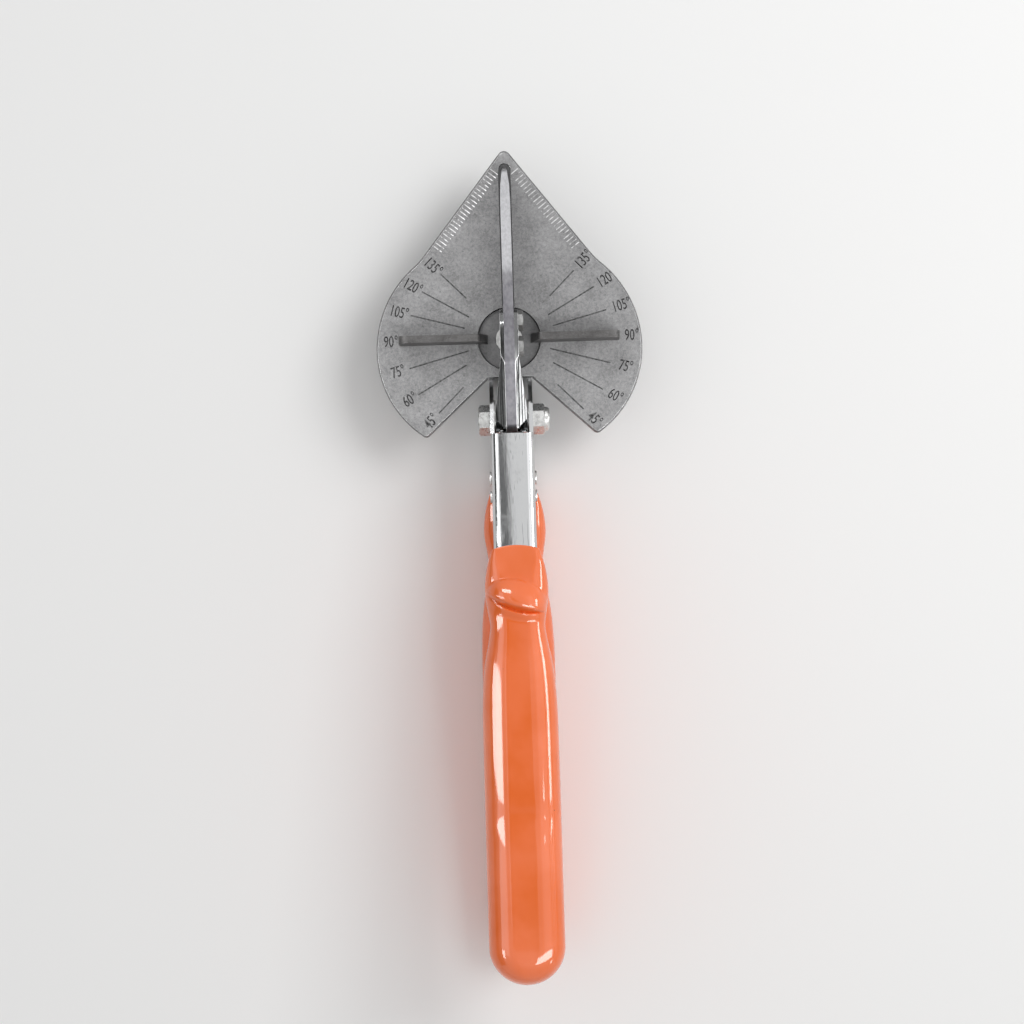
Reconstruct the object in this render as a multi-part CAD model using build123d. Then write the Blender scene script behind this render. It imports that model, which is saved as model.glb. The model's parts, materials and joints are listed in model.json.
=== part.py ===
"""Multi-angle mitre shear with soft grips, closed.

Millimetres. The origin is the angular centre of the plate, on its upper face, under the cutting
edge. +Y points along the blade to the tip of the plate, +Z up from the plate to the blade.
"""
from build123d import *
from math import cos, hypot, pi, radians, sin, sqrt, tan
import os

os.makedirs("parts", exist_ok=True)

# Shared values
overrun = 2.0  # how far a cutting tool runs past a face
play = 0.05  # radial clearance of a shaft, screw or pin in its hole
side_gap = 0.1  # flat running gap between pieces that move past each other
seat_gap = 0.3  # gap between pieces that move and never touch

# Angle plate: the leaf that carries the angle scale
plate_thickness = 4.0
plate_half_width = 40.1
plate_widest_y = -2.0
plate_peak_y = 57.9  # where the two straight flanks would meet
plate_nose_radius = 2.0
flank_end_y = 25.6
flank_end_share = 0.628  # of the half width
flank_bend_length = 4.4  # chord of the hollow bend below each flank
flank_bend_angle = 6.0  # half of its turn
plate_corner_y = -29.4
plate_corner_share = 0.641  # of the half width
plate_corner_radius = 1.5
plate_notch_x = 6.6  # the rear edge is straight between the walls of the lever
plate_notch_y = -11.8
plate_bevel = 0.5

# Anvil strip, let into the plate under the blade
strip_width = 3.8
strip_thickness = 1.2
strip_front_y = 52.6
strip_screw_radius = 1.0
strip_screw_ys = (18.0, 37.0)

# Fence: a ring in a round pocket of the plate, with two upright wings
fence_ring_radius = 9.3
fence_ring_thickness = 1.4
fence_wing_reach = 33.0
fence_wing_height = 11.5
fence_wing_thickness = 2.8
fence_wing_top_thickness = 2.2
fence_wing_root = 6.4  # from the turning axis to the foot of a wing
fence_wing_lean = 2.2  # how far the inner edge of a wing leans outwards
fence_wing_corner = 3.0
stud_radius = 4.0
stud_thread_radius = 2.5
fence_washer_thickness = 0.4
stud_nut_flats = 8.0
stud_nut_height = 4.0
stud_tip = 0.6  # of its thread, past the nut

# Pivot bolt, across both levers
pivot_y = -24.5
pivot_z = 3.0
bolt_radius = 2.5
bolt_head_flats = 8.0
bolt_head_height = 3.5
bolt_nut_height = 3.6
bolt_nut_collar_radius = 3.6
bolt_nut_collar_height = 1.3
shim_thickness = 0.4
shim_radius = 6.0

# Upper handle: a channel open below, whose walls run on under the plate
sheet = 1.2  # of both pressed levers
channel_half_width = 6.4
handle_end_y = -180.0
bend_radius = 2.4
web_front_y = -28.8
web_front_z = 16.0
upper_slope = 7.0
channel_depth = 12.6
shoulder_z = 13.4  # the walls in front of the web
shoulder_y = -20.0
shoulder_end_z = 9.6
heel_z = -23.0
neck_y = -36.5  # the walls rise to the handle behind the throat
heel_front_y = 6.0
heel_rear_y = -13.0
throat_y = -30.0
throat_z = -4.5
jaw_front_y = 41.0
jaw_front_depth = 5.5
lever_corner = 3.0

# Bar between the walls, under the plate
bar_depth = 5.0
bar_rear_y = -9.5
plate_screw_radius = 1.6
plate_screw_ys = (12.6, 28.0)
plate_screw_tip_z = -3.4
rivet_radius = 1.5
rivet_ys = (8.5, 32.5)
rivet_head_radius = 2.4
rivet_head_height = 1.2
screw_head_share = 1.8  # head radius of a small screw over its thread radius
screw_head_height_share = 1.1  # head height over thread radius

# Lower handle: a channel open above, whose walls rise as cheeks on the blade
lower_slope = 1.5
lower_web_z = -17.0  # underside of the web below the pivot
cheek_half_width = 4.7  # at the pivot, inside the other lever
flare_start_y = -30.0
flare_end_y = -38.0
nip_start_y = -22.0
nip_end_y = -6.5
sweep_radius = 12.3  # keeps the front of the lever clear of the plate as it turns
sweep_angles = (-40.0, -10.0)
toe_y = -20.0
cheek_foot_z = 8.2
cheek_foot_y = -3.0
cheek_front_y = 8.0
cheek_drop = 0.4  # of the cheeks below the holder's top
roof_fall = 2.0  # of the roof between holder and cheeks, at the outer face of the cheeks
roof_rear_y = -28.4
cheek_back_y = -31.0
cheek_back_z = 7.0
ear_radius = 2.9

# Blade and its holder
blade_thickness = 1.0
blade_edge_gap = 0.1
blade_edge_rear_y = -10.5
blade_edge_front_y = 52.0
blade_top_front_y = 49.0
blade_nose_z = 7.5
blade_grind = 2.2
blade_edge_thickness = 0.1
holder_wall = 1.0
holder_rear_y = -28.5
holder_rear_z = 10.6
holder_back_y = -27.0
holder_back_z = 13.0
holder_crest_z = 19.0
holder_crest_rear_y = -8.0
holder_crest_front_y = 19.0
holder_nose_y = 50.0
holder_nose_z = 9.6
nose_taper_y = 40.0
nose_bend_y = 45.5
nose_bend_share = 0.87  # of the half width
nose_half_width = 0.75
blade_screw_radius = 1.5
blade_screw_ys = (-3.2, 4.6)
blade_screw_z = 13.6
blade_nut_flats = 5.5
blade_nut_height = 1.6
blade_head_height = 1.2

# Return spring, between the two webs
spring_y = -35.6
spring_radius = 3.0  # to the middle of the wire
spring_wire = 1.2
spring_turns = 8
spring_dead_turns = 1
spring_self_gap = 0.5  # between the close-wound turns at each end
samples_per_arc = 4  # where the gap of the wire to itself is measured
peg_radius = 2.1
peg_height = 3.0

# Latch hook, on a pin through ears of the lower handle
latch_pin_y = -42.0
latch_pin_z = -1.4
latch_pin_radius = 1.4
catch_pin_radius = 1.2
catch_pin_y = -47.5
catch_pin_rim = 2.3  # above the open edge of the upper channel
latch_thickness = 2.0
latch_boss_radius = 2.4
latch_shank_width = 2.6
latch_lip = 1.6
latch_rest_angle = 172.0  # of the shank, from +Y
rivet_spread_share = 1.5  # radius of an upset end over its pin

# Soft grips
grip_width = 22.4
grip_cover_outer = 2.0  # soft cover over the web
grip_cover_open = 1.4  # soft cover over the open side
grip_end_cover = 9.0
upper_grip_front_y = -62.0
lower_grip_front_y = -44.7
grip_shaped_length = 75.0  # front part with the thumb guard and the waist
grip_station_shares = (0.0, 0.06, 0.12, 0.185, 0.255, 0.315, 0.38, 0.455, 0.545, 0.665, 1.0)
grip_width_shares = (0.635, 0.75, 0.82, 0.84, 0.775, 0.725, 0.785, 0.885, 0.955, 0.99, 1.0)
grip_cover_shares = (0.5, 0.7, 1.0, 1.0, 1.0, 1.0, 1.0, 1.0, 1.0, 1.0, 1.0)
grip_corner_shares = (0.1, 0.17, 0.24, 0.26, 0.26, 0.25, 0.3, 0.36, 0.4, 0.42, 0.42)  # radius over depth
end_step_shares = (0.0, 0.45, 0.78, 0.95)
guard_length = 11.0  # along the handle
guard_half_width = 9.3
guard_rise = 2.8
guard_centre = 15.6  # behind the front edge of the grip
guard_tilt = 14.0
guard_depth_share = 1.6  # how deep the oval reaches into the grip, over its rise


def upper_web(y):
    """Height of the outer face of the upper handle's web."""
    return web_front_z + (web_front_y - y) * tan(radians(upper_slope))


def lower_web(y):
    """Height of the outer face of the lower handle's web."""
    return lower_web_z - (pivot_y - y) * tan(radians(lower_slope))


def roof_height(y):
    """Height of the sloping top of the cheeks, which runs along below the back of the holder."""
    slope = (holder_crest_z - holder_back_z) / (holder_crest_rear_y - holder_back_y)
    return holder_crest_z - cheek_drop + (y - holder_crest_rear_y) * slope


def about_pivot(radius, angle):
    """Point at a radius and an angle from the pivot, seen along X."""
    return pivot_y + radius * cos(radians(angle)), pivot_z + radius * sin(radians(angle))


def side_prism(corners, half_width):
    """Solid whose outline in Y and Z has corners (y, z, corner radius)."""
    outline = FilletPolyline(
        [(y, z) for y, z, _ in corners], radius=[radius for _, _, radius in corners], close=True
    )
    return extrude(Plane.YZ * make_face(outline), amount=half_width, both=True)


def plan_prism(stations, low_z, high_z):
    """Solid, mirrored about X = 0, whose half widths are given as (y, half width)."""
    right = [(half, y) for y, half in stations]
    left = [(-half, y) for y, half in reversed(stations)]
    face = make_face(Polyline(right + left, close=True))
    return extrude(Pos(0, 0, low_z) * face, amount=high_z - low_z)


def round_front(half_width, rear_y, front_y, low_z, high_z):
    """Long upright solid, square at the rear and round in front."""
    middle = front_y - half_width
    body = plan_prism([(rear_y, half_width), (middle, half_width)], low_z, high_z)
    return body + along_z(half_width, low_z, high_z, 0, middle)


def along_x(radius, low_x, high_x, y, z):
    """Round rod along X."""
    rod = Cylinder(radius, high_x - low_x, rotation=(0, 90, 0))
    return Pos((low_x + high_x) / 2, y, z) * rod


def along_z(radius, low_z, high_z, x, y):
    """Round rod along Z."""
    return Pos(x, y, (low_z + high_z) / 2) * Cylinder(radius, high_z - low_z)


def hexagon_x(flats, low_x, high_x, y, z):
    """Hexagon along X, a given size across its flats."""
    face = Plane.YZ.offset(low_x) * Pos(y, z) * RegularPolygon(flats / 2, 6, major_radius=False)
    return extrude(face, amount=high_x - low_x)


def hexagon_z(flats, low_z, high_z, x, y):
    """Hexagon along Z, a given size across its flats."""
    face = Pos(x, y, low_z) * RegularPolygon(flats / 2, 6, major_radius=False)
    return extrude(face, amount=high_z - low_z)


def group(solids):
    """Several loose solids as one node."""
    return Compound(children=list(solids))


# Heights and places that several pieces share
plate_floor_z = -plate_thickness
bar_floor_z = plate_floor_z - bar_depth
wall_inner = channel_half_width - sheet
fence_ring_top_z = -strip_thickness - side_gap
fence_ring_floor_z = fence_ring_top_z - fence_ring_thickness
fence_washer_floor_z = fence_ring_floor_z - side_gap / 2 - fence_washer_thickness
pocket_radius = fence_ring_radius + seat_gap
catch_pin_z = upper_web(catch_pin_y) - channel_depth + catch_pin_rim
across = channel_half_width + overrun  # half length of a cutter through both walls
shim_inner_x = wall_inner - shim_thickness
bar_front_y = jaw_front_y - sheet
rivet_z = plate_floor_z - bar_depth / 2
holder_half_width = blade_thickness / 2 + holder_wall
nip_half_width = holder_half_width + sheet


def make_angle_plate():
    """Leaf with straight flanks, hollow bends, round sides, and a pocket for the fence."""
    flank_end = Vector(plate_half_width * flank_end_share, flank_end_y)
    flank = Line((0, plate_peak_y), flank_end)
    bend_end = flank_end + (flank % 1).rotate(Axis.Z, flank_bend_angle) * flank_bend_length
    widest = Vector(plate_half_width, plate_widest_y)
    corner = Vector(plate_half_width * plate_corner_share, plate_corner_y)
    notch = Vector(plate_notch_x, plate_notch_y)
    hollow = TangentArc(flank_end, bend_end, tangent=flank % 1)
    shoulder = TangentArc(bend_end, widest, tangent=hollow % 1)
    side = TangentArc(widest, corner, tangent=shoulder % 1)
    right = [flank, hollow, shoulder, side, Line(corner, notch), Line(notch, (0, plate_notch_y))]
    half = make_face(Wire(right + [Line((0, plate_notch_y), (0, plate_peak_y))]))
    leaf = half + mirror(half, about=Plane.YZ)
    tip = leaf.vertices().sort_by(Axis.Y)[-1]
    leaf = fillet(tip, plate_nose_radius)
    ends = leaf.vertices().sort_by(Axis.Y)[:2]
    leaf = fillet(ends, plate_corner_radius)
    plate = extrude(Pos(0, 0, plate_floor_z) * leaf, amount=plate_thickness)
    plate = chamfer(plate.faces().sort_by(Axis.Z)[-1].outer_wire().edges(), plate_bevel)
    slot_rear, slot_front = plate_notch_y - overrun, strip_front_y + seat_gap
    plate -= round_front(strip_width / 2, slot_rear, slot_front, -strip_thickness, overrun)
    plate -= along_z(pocket_radius, fence_washer_floor_z, overrun, 0, 0)
    plate -= along_z(stud_thread_radius + play, plate_floor_z - overrun, 0, 0, 0)
    for y in strip_screw_ys:
        plate -= along_z(strip_screw_radius + play, plate_floor_z - overrun, 0, 0, y)
    for y in plate_screw_ys:
        plate -= along_z(plate_screw_radius, plate_floor_z - overrun, plate_screw_tip_z, 0, y)
    return plate


def make_anvil_strip():
    """Flat strip flush with the plate, which bridges the fence's ring."""
    half = strip_width / 2 - play
    strip = round_front(half, plate_notch_y, strip_front_y, -strip_thickness, 0)
    for y in strip_screw_ys:
        strip -= along_z(strip_screw_radius, -strip_thickness * 2, -strip_thickness / 2, 0, y)
    return strip


def make_jaw_bar():
    """Bar that fills the walls under the plate and takes every screw of the plate."""
    length = bar_front_y - bar_rear_y
    middle = (bar_front_y + bar_rear_y) / 2
    bar = Pos(0, middle, plate_floor_z - bar_depth / 2) * Box(wall_inner * 2, length, bar_depth)
    low, high = bar_floor_z - overrun, plate_floor_z + overrun
    bar -= along_z(stud_thread_radius + play, low, high, 0, 0)
    for y in strip_screw_ys:
        bar -= along_z(strip_screw_radius + play, low, high, 0, y)
    for y in plate_screw_ys:
        bar -= along_z(plate_screw_radius + play, low, high, 0, y)
    for y in rivet_ys:
        bar -= along_x(rivet_radius + play, -across, across, y, rivet_z)
    return bar


def bar_screws(radius, ys, tip_z):
    """Pan-head screws up through the bar."""
    head = radius * screw_head_share
    low = bar_floor_z - radius * screw_head_height_share
    return group(
        along_z(radius, bar_floor_z, tip_z, 0, y) + along_z(head, low, bar_floor_z, 0, y) for y in ys
    )


def make_jaw_rivets():
    """Rivets across the walls and the bar, with a flat head at each end."""
    rivets = []
    for y in rivet_ys:
        rivet = along_x(rivet_radius, -channel_half_width, channel_half_width, y, rivet_z)
        outer = channel_half_width + rivet_head_height
        rivet += along_x(rivet_head_radius, channel_half_width, outer, y, rivet_z)
        rivet += along_x(rivet_head_radius, -outer, -channel_half_width, y, rivet_z)
        rivets.append(rivet)
    return group(rivets)


def make_fence():
    """Ring with two upright wings in one straight line."""
    ring = along_z(fence_ring_radius, fence_ring_floor_z, fence_ring_top_z, 0, 0)
    wing = make_wing()
    ring += wing
    ring += Rot(0, 0, 180) * wing
    return ring - along_z(stud_radius + play, fence_ring_floor_z - overrun, overrun, 0, 0)


def make_wing():
    """Upright wing along +X, thinner at the top than at the foot."""
    foot = fence_ring_top_z - fence_ring_thickness / 2
    step = fence_ring_radius - play
    outline = FilletPolyline(
        (fence_wing_root, foot), (step, foot), (step, seat_gap), (fence_wing_reach, seat_gap),
        (fence_wing_reach, fence_wing_height), (fence_wing_root + fence_wing_lean, fence_wing_height),
        radius=[0, 0, 0, 0, fence_wing_corner, fence_wing_corner / 2], close=True,
    )
    side = extrude(Plane.XZ * make_face(outline), amount=fence_wing_thickness, both=True)
    half_foot = fence_wing_thickness / 2
    half_top = fence_wing_top_thickness / 2
    section = Polyline(
        (-half_foot, foot), (half_foot, foot), (half_top, fence_wing_height),
        (-half_top, fence_wing_height), close=True,
    )
    return side & extrude(Plane.YZ * make_face(section), amount=fence_wing_reach * 2)


def make_fence_stud():
    """Shouldered stud: the ring turns on its head, its thread goes down through the bar."""
    stud = along_z(stud_radius, fence_washer_floor_z, fence_ring_top_z, 0, 0)
    stud_end = bar_floor_z - stud_nut_height - stud_tip
    return stud + along_z(stud_thread_radius, stud_end, fence_washer_floor_z, 0, 0)


def make_fence_nut():
    """Nut of the stud, under the bar."""
    nut = hexagon_z(stud_nut_flats, bar_floor_z - stud_nut_height, bar_floor_z, 0, 0)
    return nut - along_z(stud_thread_radius, bar_floor_z - stud_nut_height - overrun, bar_floor_z, 0, 0)


def make_fence_washer():
    """Friction washer between the pocket's floor and the ring."""
    top = fence_washer_floor_z + fence_washer_thickness
    washer = along_z(fence_ring_radius - seat_gap, fence_washer_floor_z, top, 0, 0)
    return washer - along_z(stud_radius + play, fence_washer_floor_z - overrun, top + overrun, 0, 0)


def make_upper_handle():
    """Channel open below; past its web the two walls go on under the plate."""
    jaw_floor = plate_floor_z - jaw_front_depth
    wall_front = plate_notch_y - seat_gap
    neck_z = upper_web(neck_y) - channel_depth
    outer = side_prism(
        [
            (handle_end_y, upper_web(handle_end_y), 0), (web_front_y, web_front_z, 0),
            (web_front_y, shoulder_z, 0), (shoulder_y, shoulder_end_z, lever_corner * 2),
            (wall_front, -plate_bevel, 0), (wall_front, plate_floor_z, 0),
            (jaw_front_y, plate_floor_z, 0), (jaw_front_y, jaw_floor, lever_corner),
            (heel_front_y, heel_z, lever_corner * 3), (heel_rear_y, heel_z, lever_corner * 3),
            (throat_y, throat_z, lever_corner * 2), (neck_y, neck_z, lever_corner),
            (handle_end_y, upper_web(handle_end_y) - channel_depth, 0),
        ],
        channel_half_width,
    )
    ridge = [edge for edge in outer.edges() if on_web(edge, upper_web)]
    outer = fillet(ridge, bend_radius)
    far = jaw_front_y + overrun
    low = heel_z - overrun
    inner = side_prism(
        [
            (handle_end_y - overrun, upper_web(handle_end_y - overrun) - sheet, 0),
            (far, upper_web(far) - sheet, 0), (far, low, 0), (handle_end_y - overrun, low, 0),
        ],
        wall_inner,
    )
    ridge = [edge for edge in inner.edges() if on_web(edge, lambda y: upper_web(y) - sheet)]
    channel = outer - fillet(ridge, bend_radius - sheet)
    channel -= along_x(bolt_radius + play, -across, across, pivot_y, pivot_z)
    channel -= along_x(catch_pin_radius, -across, across, catch_pin_y, catch_pin_z)
    for y in rivet_ys:
        channel -= along_x(rivet_radius + play, -across, across, y, rivet_z)
    return channel + spring_peg(upper_web(spring_y) - sheet, -1)


def on_web(edge, web):
    """Whether an edge runs lengthwise along the sloping face of a web."""
    start, end = edge.position_at(0), edge.position_at(1)
    lengthwise = abs(start.Y - end.Y) > sheet
    return lengthwise and all(abs(point.Z - web(point.Y)) < play for point in (start, end))


def spring_peg(web_z, direction):
    """Round peg on a web, in the end of the return spring."""
    tip = web_z + direction * peg_height
    root = web_z - direction * sheet / 2
    return along_z(peg_radius, min(tip, root), max(tip, root), 0, spring_y)


def make_lower_handle():
    """Channel open above; its walls draw in past the pivot and rise as cheeks on the blade."""
    toe_front = about_pivot(sweep_radius, sweep_angles[0])
    toe_top = about_pivot(sweep_radius, sweep_angles[1])
    rim_y = flare_start_y - sheet * 2
    rim_z = lower_web(rim_y) + channel_depth
    crest_z = holder_crest_z - cheek_drop
    outer = side_prism(
        [
            (handle_end_y, lower_web(handle_end_y), 0), (toe_y, lower_web(toe_y), sheet),
            (*toe_front, lever_corner), (*toe_top, sheet), (cheek_foot_y, cheek_foot_z, lever_corner),
            (cheek_front_y, cheek_foot_z, lever_corner), (cheek_front_y, crest_z, lever_corner * 2),
            (holder_crest_rear_y, crest_z, lever_corner * 2),
            (roof_rear_y, roof_height(roof_rear_y), sheet),
            (cheek_back_y, cheek_back_z, lever_corner), (rim_y, rim_z, lever_corner),
            (handle_end_y, lower_web(handle_end_y) + channel_depth, 0),
        ],
        channel_half_width,
    )
    outer += side_prism(
        [
            (latch_pin_y - ear_radius, lower_web(latch_pin_y) + ear_radius, 0),
            (latch_pin_y + ear_radius, lower_web(latch_pin_y) + ear_radius, 0),
            (latch_pin_y + ear_radius, latch_pin_z + ear_radius, ear_radius - play),
            (latch_pin_y - ear_radius, latch_pin_z + ear_radius, ear_radius - play),
        ],
        channel_half_width,
    )
    low, high = heel_z - overrun, holder_crest_z + overrun
    outer &= plan_prism(
        [
            (handle_end_y - overrun, channel_half_width), (flare_end_y, channel_half_width),
            (flare_start_y, cheek_half_width), (nip_start_y, cheek_half_width),
            (nip_end_y, nip_half_width), (cheek_front_y + overrun, nip_half_width),
        ],
        low, high,
    )
    outer -= over_roof(play)
    hollow = plan_prism(
        [
            (handle_end_y - overrun * 2, wall_inner), (flare_end_y, wall_inner),
            (flare_start_y, cheek_half_width - sheet), (nip_start_y, cheek_half_width - sheet),
            (nip_end_y, holder_half_width), (cheek_front_y + overrun, holder_half_width),
        ],
        low, high,
    )
    hollow -= over_roof(play - sheet)
    slot = [(roof_rear_y - overrun, holder_half_width), (cheek_front_y + overrun, holder_half_width)]
    hollow += plan_prism(slot, cheek_foot_z, high)
    rear, far = handle_end_y - overrun, cheek_front_y + overrun
    hollow &= side_prism(
        [
            (rear, lower_web(rear) + sheet, 0), (far, lower_web(far) + sheet, 0),
            (far, high, 0), (rear, high, 0),
        ],
        channel_half_width,
    )
    lever = outer - hollow
    lever -= along_x(bolt_radius + play, -across, across, pivot_y, pivot_z)
    lever -= along_x(latch_pin_radius, -across, across, latch_pin_y, latch_pin_z)
    for y in blade_screw_ys:
        lever -= along_x(blade_screw_radius + play, -across, across, y, blade_screw_z)
    return lever + spring_peg(lower_web(spring_y) + sheet, 1)


def over_roof(lift):
    """Space above the roof between the holder and the flared cheeks, raised by a height."""
    start_y = cheek_front_y + overrun
    crest = roof_height(start_y) + lift
    slope = roof_fall / (cheek_half_width - holder_half_width)
    eave = crest - slope * (across - holder_half_width)
    section = Polyline(
        (-across, eave), (-holder_half_width, crest), (holder_half_width, crest), (across, eave),
        (across, crest + holder_crest_z), (-across, crest + holder_crest_z), close=True,
    )
    run = start_y - roof_rear_y
    drop = roof_height(start_y) - roof_height(roof_rear_y)
    face = Plane.XZ.offset(-start_y) * make_face(section)
    return extrude(face, amount=hypot(run, drop), dir=(0, -run, -drop))


def make_blade_holder():
    """Strip folded over the back of the blade, with a pinched nose."""
    outline = [
        (holder_rear_y, cheek_foot_z, 0), (holder_nose_y, cheek_foot_z, 0),
        (holder_nose_y, holder_nose_z, sheet), (holder_crest_front_y, holder_crest_z, lever_corner * 4),
        (holder_crest_rear_y, holder_crest_z, lever_corner * 2),
        (holder_back_y, holder_back_z, lever_corner), (holder_rear_y, holder_rear_z, sheet / 2),
    ]
    holder = side_prism(outline, holder_half_width)
    holder &= plan_prism(
        [
            (holder_rear_y - overrun, holder_half_width), (nose_taper_y, holder_half_width),
            (nose_bend_y, holder_half_width * nose_bend_share), (holder_nose_y, nose_half_width),
        ],
        0, holder_crest_z + overrun,
    )
    holder -= Pos(0, 0, -holder_wall) * side_prism(outline, blade_thickness / 2)
    for y in blade_screw_ys:
        holder -= along_x(blade_screw_radius + play, -across, across, y, blade_screw_z)
    return holder


def make_blade():
    """Long straight blade with a ground edge."""
    edge_z = blade_edge_gap
    back_z = holder_crest_z - holder_wall - blade_edge_gap
    nose_drop = (holder_crest_z - holder_nose_z) / (holder_nose_y - holder_crest_front_y)
    back_front_z = back_z - (blade_top_front_y - holder_crest_front_y) * nose_drop
    outline = [
        (blade_edge_rear_y, edge_z, 0), (blade_edge_front_y, edge_z, 0),
        (blade_top_front_y, min(blade_nose_z, back_front_z), sheet),
        (holder_crest_front_y, back_z - sheet, lever_corner),
        (holder_crest_rear_y + lever_corner, back_z - sheet, lever_corner),
        (blade_edge_rear_y, cheek_foot_z + sheet * 2, 0),
    ]
    blade = side_prism(outline, blade_thickness)
    half, fine = blade_thickness / 2, blade_edge_thickness / 2
    section = Polyline(
        (-fine, edge_z), (fine, edge_z), (half, edge_z + blade_grind), (half, holder_crest_z),
        (-half, holder_crest_z), (-half, edge_z + blade_grind), close=True,
    )
    start = Plane.XZ.offset(-blade_edge_front_y - overrun)
    length = blade_edge_front_y - blade_edge_rear_y + overrun * 2
    blade &= extrude(start * make_face(section), amount=length)
    for y in blade_screw_ys:
        blade -= along_x(blade_screw_radius + play, -across, across, y, blade_screw_z)
    return blade


def make_blade_screws():
    """Pan-head screws through cheeks, holder and blade."""
    head = blade_screw_radius * screw_head_share
    head_x = -nip_half_width - blade_head_height
    end_x = nip_half_width + blade_nut_height
    return group(
        along_x(blade_screw_radius, -nip_half_width, end_x, y, blade_screw_z)
        + along_x(head, head_x, -nip_half_width, y, blade_screw_z)
        for y in blade_screw_ys
    )


def make_blade_nuts():
    """Thin nuts of the blade screws."""
    nuts = []
    for y in blade_screw_ys:
        outer = nip_half_width + blade_nut_height
        nut = hexagon_x(blade_nut_flats, nip_half_width, outer, y, blade_screw_z)
        nuts.append(nut - along_x(blade_screw_radius, 0, outer + overrun, y, blade_screw_z))
    return group(nuts)


def make_pivot_bolt():
    """Hexagon bolt across both levers, head on the left."""
    end = channel_half_width + bolt_nut_height + bolt_nut_collar_height
    bolt = along_x(bolt_radius, -channel_half_width, end, pivot_y, pivot_z)
    head_end = -channel_half_width - bolt_head_height
    return bolt + hexagon_x(bolt_head_flats, head_end, -channel_half_width, pivot_y, pivot_z)


def make_pivot_nut():
    """Locking nut with a round collar."""
    middle = channel_half_width + bolt_nut_height
    nut = hexagon_x(bolt_head_flats, channel_half_width, middle, pivot_y, pivot_z)
    end = middle + bolt_nut_collar_height
    nut += along_x(bolt_nut_collar_radius, middle, end, pivot_y, pivot_z)
    return nut - along_x(bolt_radius, 0, end + overrun, pivot_y, pivot_z)


def make_pivot_shims():
    """Thin ring on each side, between the walls of the two levers."""
    shims = []
    for low_x in (-wall_inner, shim_inner_x):
        ring = along_x(shim_radius, low_x, low_x + shim_thickness, pivot_y, pivot_z)
        shims.append(ring - along_x(bolt_radius + play, -wall_inner, wall_inner, pivot_y, pivot_z))
    return group(shims)


def cross_pin(radius, y, z):
    """Pin across both walls of a channel, with its ends upset outside."""
    outer = channel_half_width + radius / 2
    pin = along_x(radius, -channel_half_width, channel_half_width, y, z)
    for low_x in (-outer, channel_half_width):
        pin += along_x(radius * rivet_spread_share, low_x, low_x + radius / 2, y, z)
    return pin


def make_latch_hook():
    """Flat hook, here swung back out of the way between the handles."""
    stud_reach = hypot(catch_pin_y - latch_pin_y, catch_pin_z - latch_pin_z)
    lip_inner = stud_reach + catch_pin_radius + seat_gap
    lip_outer = lip_inner + latch_lip
    half = latch_shank_width / 2
    mouth = half + seat_gap + catch_pin_radius * 2
    shank = Pos(lip_outer / 2, 0) * Rectangle(lip_outer, latch_shank_width)
    lip = Circle(lip_outer) - Circle(lip_inner)
    lip &= Pos(lip_outer, (half - mouth) / 2) * Rectangle(lip_outer, mouth + half)
    face = Circle(latch_boss_radius) + (shank & Circle(lip_outer)) + lip
    face -= Circle(latch_pin_radius + play)
    turned = Plane.YZ * Pos(latch_pin_y, latch_pin_z) * Rot(0, 0, latch_rest_angle) * face
    return extrude(turned, amount=latch_thickness / 2, both=True)


def grip(front_y, web, slope, side):
    """Soft sleeve round a channel; side is 1 with the web above and -1 with it below."""
    c, s = cos(radians(slope)), sin(radians(slope))
    along = Vector(0, -c, side * s)
    outwards = Vector(0, s, side * c)
    start = Vector(0, front_y, web(front_y))
    length = (front_y - handle_end_y + grip_end_cover) / c
    end_radius = grip_width / 2
    straight = length - end_radius

    def section(station, width, depth, corner_share):
        centre = start + along * station + outwards * (grip_cover_outer - full_depth / 2)
        plane = Plane(origin=centre, x_dir=(1, 0, 0), z_dir=along)
        return plane * RectangleRounded(width, depth, depth * corner_share)

    full_depth = channel_depth + grip_cover_outer + grip_cover_open
    sections = []
    stations = [share * grip_shaped_length for share in grip_station_shares] + [straight - end_radius]
    widths = [share * grip_width for share in (*grip_width_shares, 1)]
    covers = (*grip_cover_shares, 1)
    corners = (*grip_corner_shares, grip_corner_shares[-1])
    for station, width, cover, corner in zip(stations, widths, covers, corners):
        depth = channel_depth + (grip_cover_outer + grip_cover_open) * cover
        sections.append(section(station, width, depth, corner))
    for step in end_step_shares:
        width = grip_width * sqrt(1 - step**2)
        depth = full_depth * sqrt(1 - step**4)
        round_share = grip_corner_shares[-1] * min(1, width / depth)
        sections.append(section(straight + step * end_radius, width, depth, round_share))
    sleeve = loft(sections)
    top = grip_cover_outer + guard_rise
    half_height = guard_rise * guard_depth_share
    tilt = radians(guard_tilt)
    centre = start + along * guard_centre + outwards * (top - half_height)
    across = Vector(cos(tilt), 0, 0) + along * sin(tilt)
    oval = scale(Sphere(1), by=(guard_half_width, guard_length / 2, half_height))
    sleeve += Plane(origin=centre, x_dir=across, z_dir=outwards) * oval
    hollow_length = (front_y - handle_end_y) / c + channel_depth * s
    middle = start + along * (hollow_length - overrun) / 2 - outwards * channel_depth / 2
    hollow = Box(channel_half_width * 2, channel_depth, hollow_length + overrun)
    return sleeve - Plane(origin=middle, x_dir=(1, 0, 0), z_dir=along) * hollow


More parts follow.
